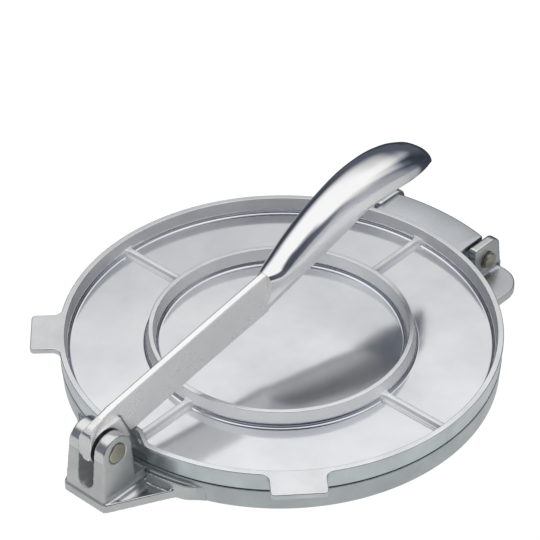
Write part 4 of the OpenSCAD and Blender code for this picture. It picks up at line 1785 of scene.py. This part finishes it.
@dataclass
class Studio:
    """Pale floor, soft lights, cards and the camera."""

    azimuth: float = 42.51
    elevation: float = 37.57
    distance: float = 1236.6
    shift_right: float = -4.75
    shift_up: float = 42.15
    roll: float = -0.62
    lens: float = 178.03
    cool: Corner = (0.82, 0.95, 1.25)
    fill_from: Pair = (-48.0, 25.0)
    fill_power: float = 1.9
    fill_spread: float = 40.0
    tent_radius: float = 4.0
    floor_share: float = 0.84
    floor_glow: float = 1.13
    # Azimuth in degrees and a level at it: the height of the tent's edge between dark and light,
    # how soft that edge is, the light below it, and the light that the card gives.
    lines: tuple[Pair, ...] = (
        (-180, 0.48), (-150, 0.44), (-130, 0.52), (-110, 0.66), (-90, 0.80), (-70, 0.84), (-45, 0.85),
        (-20, 0.80), (0, 0.66), (12, 0.60), (30, 0.58), (50, 0.62), (70, 0.49), (90, 0.53), (108, 0.38),
        (124, 0.38), (142, 0.39), (154, 0.42), (170, 0.47), (180, 0.48),
    )
    widths: tuple[Pair, ...] = (
        (-180, 0.14), (-130, 0.13), (-60, 0.12), (10, 0.13), (30, 0.20), (50, 0.18), (70, 0.27),
        (90, 0.18), (108, 0.22), (122, 0.15), (142, 0.15), (160, 0.16), (180, 0.14),
    )
    darks: tuple[Pair, ...] = (
        (-180, 0.06), (-150, 0.18), (-120, 0.22), (-90, 0.15), (-60, 0.10), (-20, 0.08), (0, 0.12),
        (12, 0.18), (26, 0.36), (46, 0.32), (58, 0.16), (66, 0.06), (90, 0.04), (108, 0.10), (140, 0.10),
        (160, 0.06), (180, 0.06),
    )
    card_levels: tuple[Pair, ...] = (
        (-180, 0.60), (-160, 0.68), (0, 0.66), (20, 0.62), (40, 0.50), (52, 0.38), (62, 0.08),
        (75, 0.05), (150, 0.05), (166, 0.25), (180, 0.60),
    )

    def camera(self) -> None:
        """Sets the camera up at its angle and distance."""
        az, el = math.radians(self.azimuth), math.radians(self.elevation)
        back = Vector((math.sin(az) * math.cos(el), -math.cos(az) * math.cos(el), math.sin(el)))
        right = Vector((math.cos(az), math.sin(az), 0))
        up = back.cross(right)
        place = back * self.distance + right * self.shift_right + up * self.shift_up
        turn = math.radians(self.roll)
        tilted = right * math.cos(turn) + up * math.sin(turn)
        upright = up * math.cos(turn) - right * math.sin(turn)
        bpy.ops.object.camera_add()
        camera = bpy.context.object
        camera.name = "studio_camera"
        basis = Matrix((tilted, upright, back)).transposed().to_4x4()
        camera.matrix_world = Matrix.Translation(place * MM) @ basis
        camera.data.lens = self.lens
        camera.data.sensor_width = 36.0
        camera.data.clip_start = 0.05
        bpy.context.scene.camera = camera

    def world(self) -> None:
        """Lights the scene from a white sky."""
        world = bpy.data.worlds.new("studio")
        bpy.context.scene.world = world
        world.use_nodes = True
        background = world.node_tree.nodes["Background"]
        background.inputs["Color"].default_value = (1, 1, 1, 1)
        background.inputs["Strength"].default_value = 1.0

    def tent(self) -> None:
        """Hangs a light tent that is white overhead and dark round the horizon."""
        Bench.clear()
        bpy.ops.mesh.primitive_uv_sphere_add(segments=96, ring_count=48, radius=self.tent_radius)
        tent = bpy.context.object
        tent.name = "studio_tent"
        shop = Shader("tent_cloth")
        place = shop.object_place()
        x, y, z = (shop.part(place, k) for k in range(3))
        share = shop.angle(y, x) / (2 * math.pi) + 0.5
        rise = shop.angle(z, (x * x + y * y).root()) * (2 / math.pi)
        line = self.round_ramp(shop, share, self.lines)
        dark = self.round_ramp(shop, share, self.darks)
        width = self.round_ramp(shop, share, self.widths)
        soft = ((rise - line) / (width * 2) + 0.5).ramp(0.0, 1.0)
        soft = soft * soft * (3 - soft * 2)
        shop.cover(tent, self.glow(shop, dark + (1 - dark) * soft))
        tent.visible_camera = False
        tent.visible_shadow = False

    def glow(self, shop: Shader, level: Socket) -> Socket:
        """Light of a given level, which turns cool where it is dim."""
        colour = shop.blend(level.ramp(0.0, 0.5), self.cool, (1.0, 1.0, 1.0))
        return shop.node("ShaderNodeEmission", {}, {"Color": colour, "Strength": level})

    @staticmethod
    def round_ramp(shop: Shader, share: Socket, levels: Sequence[Pair]) -> Socket:
        """Reads a level off a ramp that runs once round the horizon.

        Args:
            shop: the tent's material.
            share: share of the turn, from -180 degrees.
            levels: azimuth in degrees and level.

        Returns:
            The level.
        """
        stops = [((az + 180) / 360, (level, level, level, 1)) for az, level in levels]
        return shop.node("ShaderNodeValToRGB", {"stops": stops}, {"Fac": share})

    def floor(self) -> None:
        """Lays the pale floor, which shows white but keeps a soft shadow."""
        Bench.clear()
        bpy.ops.mesh.primitive_plane_add(size=2 * self.tent_radius, location=(0, 0, -0.4 * MM))
        floor = bpy.context.object
        floor.name = "studio_floor"
        shop = Shader("white_floor")
        kinds = ("Is Camera Ray", "Is Glossy Ray", "Is Transmission Ray")
        camera, glossy, through = (shop.node("ShaderNodeLightPath", {}, {}, kind) for kind in kinds)
        share = (camera + glossy + through) * self.floor_share
        matt = shop.node("ShaderNodeBsdfDiffuse", {}, {"Color": (0.92, 0.92, 0.92, 1)})
        glow = shop.node("ShaderNodeEmission", {}, {"Strength": self.floor_glow})
        shop.cover(floor, shop.node("ShaderNodeMixShader", {}, {0: share, 1: matt, 2: glow}))

    def card(self) -> None:
        """Lays a grey card on the floor, which only the metal sees."""
        Bench.clear()
        bpy.ops.mesh.primitive_circle_add(
            vertices=96, radius=self.tent_radius - 0.1, fill_type="NGON", location=(0, 0, -0.2 * MM)
        )
        card = bpy.context.object
        card.name = "studio_card"
        shop = Shader("grey_card")
        place = shop.object_place()
        x, y = shop.part(place, 0), shop.part(place, 1)
        centre_y = 0.08
        share = shop.angle(y - centre_y, x) / (2 * math.pi) + 0.5
        shop.cover(card, self.glow(shop, self.round_ramp(shop, share, self.card_levels)))
        card.visible_camera = False
        card.visible_shadow = False
        card.visible_diffuse = False

    def fill(self) -> None:
        """Adds a soft fill lamp from the front, which only lights what scatters."""
        az, el = math.radians(self.fill_from[0]), math.radians(self.fill_from[1])
        bpy.ops.object.light_add(type="SUN")
        lamp = bpy.context.object
        lamp.name = "studio_fill"
        lamp.data.energy = self.fill_power
        lamp.data.angle = math.radians(self.fill_spread)
        back = Vector((math.cos(az) * math.cos(el), math.sin(az) * math.cos(el), math.sin(el)))
        lamp.matrix_world = back.to_track_quat("Z", "Y").to_matrix().to_4x4()
        lamp.visible_glossy = False

    def build(self) -> None:
        """Sets the whole studio up."""
        self.camera()
        self.fill()
        self.world()
        self.tent()
        self.floor()
        self.card()
        scene = bpy.context.scene
        scene.view_settings.view_transform = "Standard"


def main() -> None:
    """Builds the press and its studio."""
    logging.basicConfig(level=logging.INFO, format="%(message)s")
    Studio().build()
    for assembly in (BasePlate(), TopPlate(), Lever(), Pins()):
        assembly.build()
    Bench.clear()


if __name__ == "__main__":
    main()
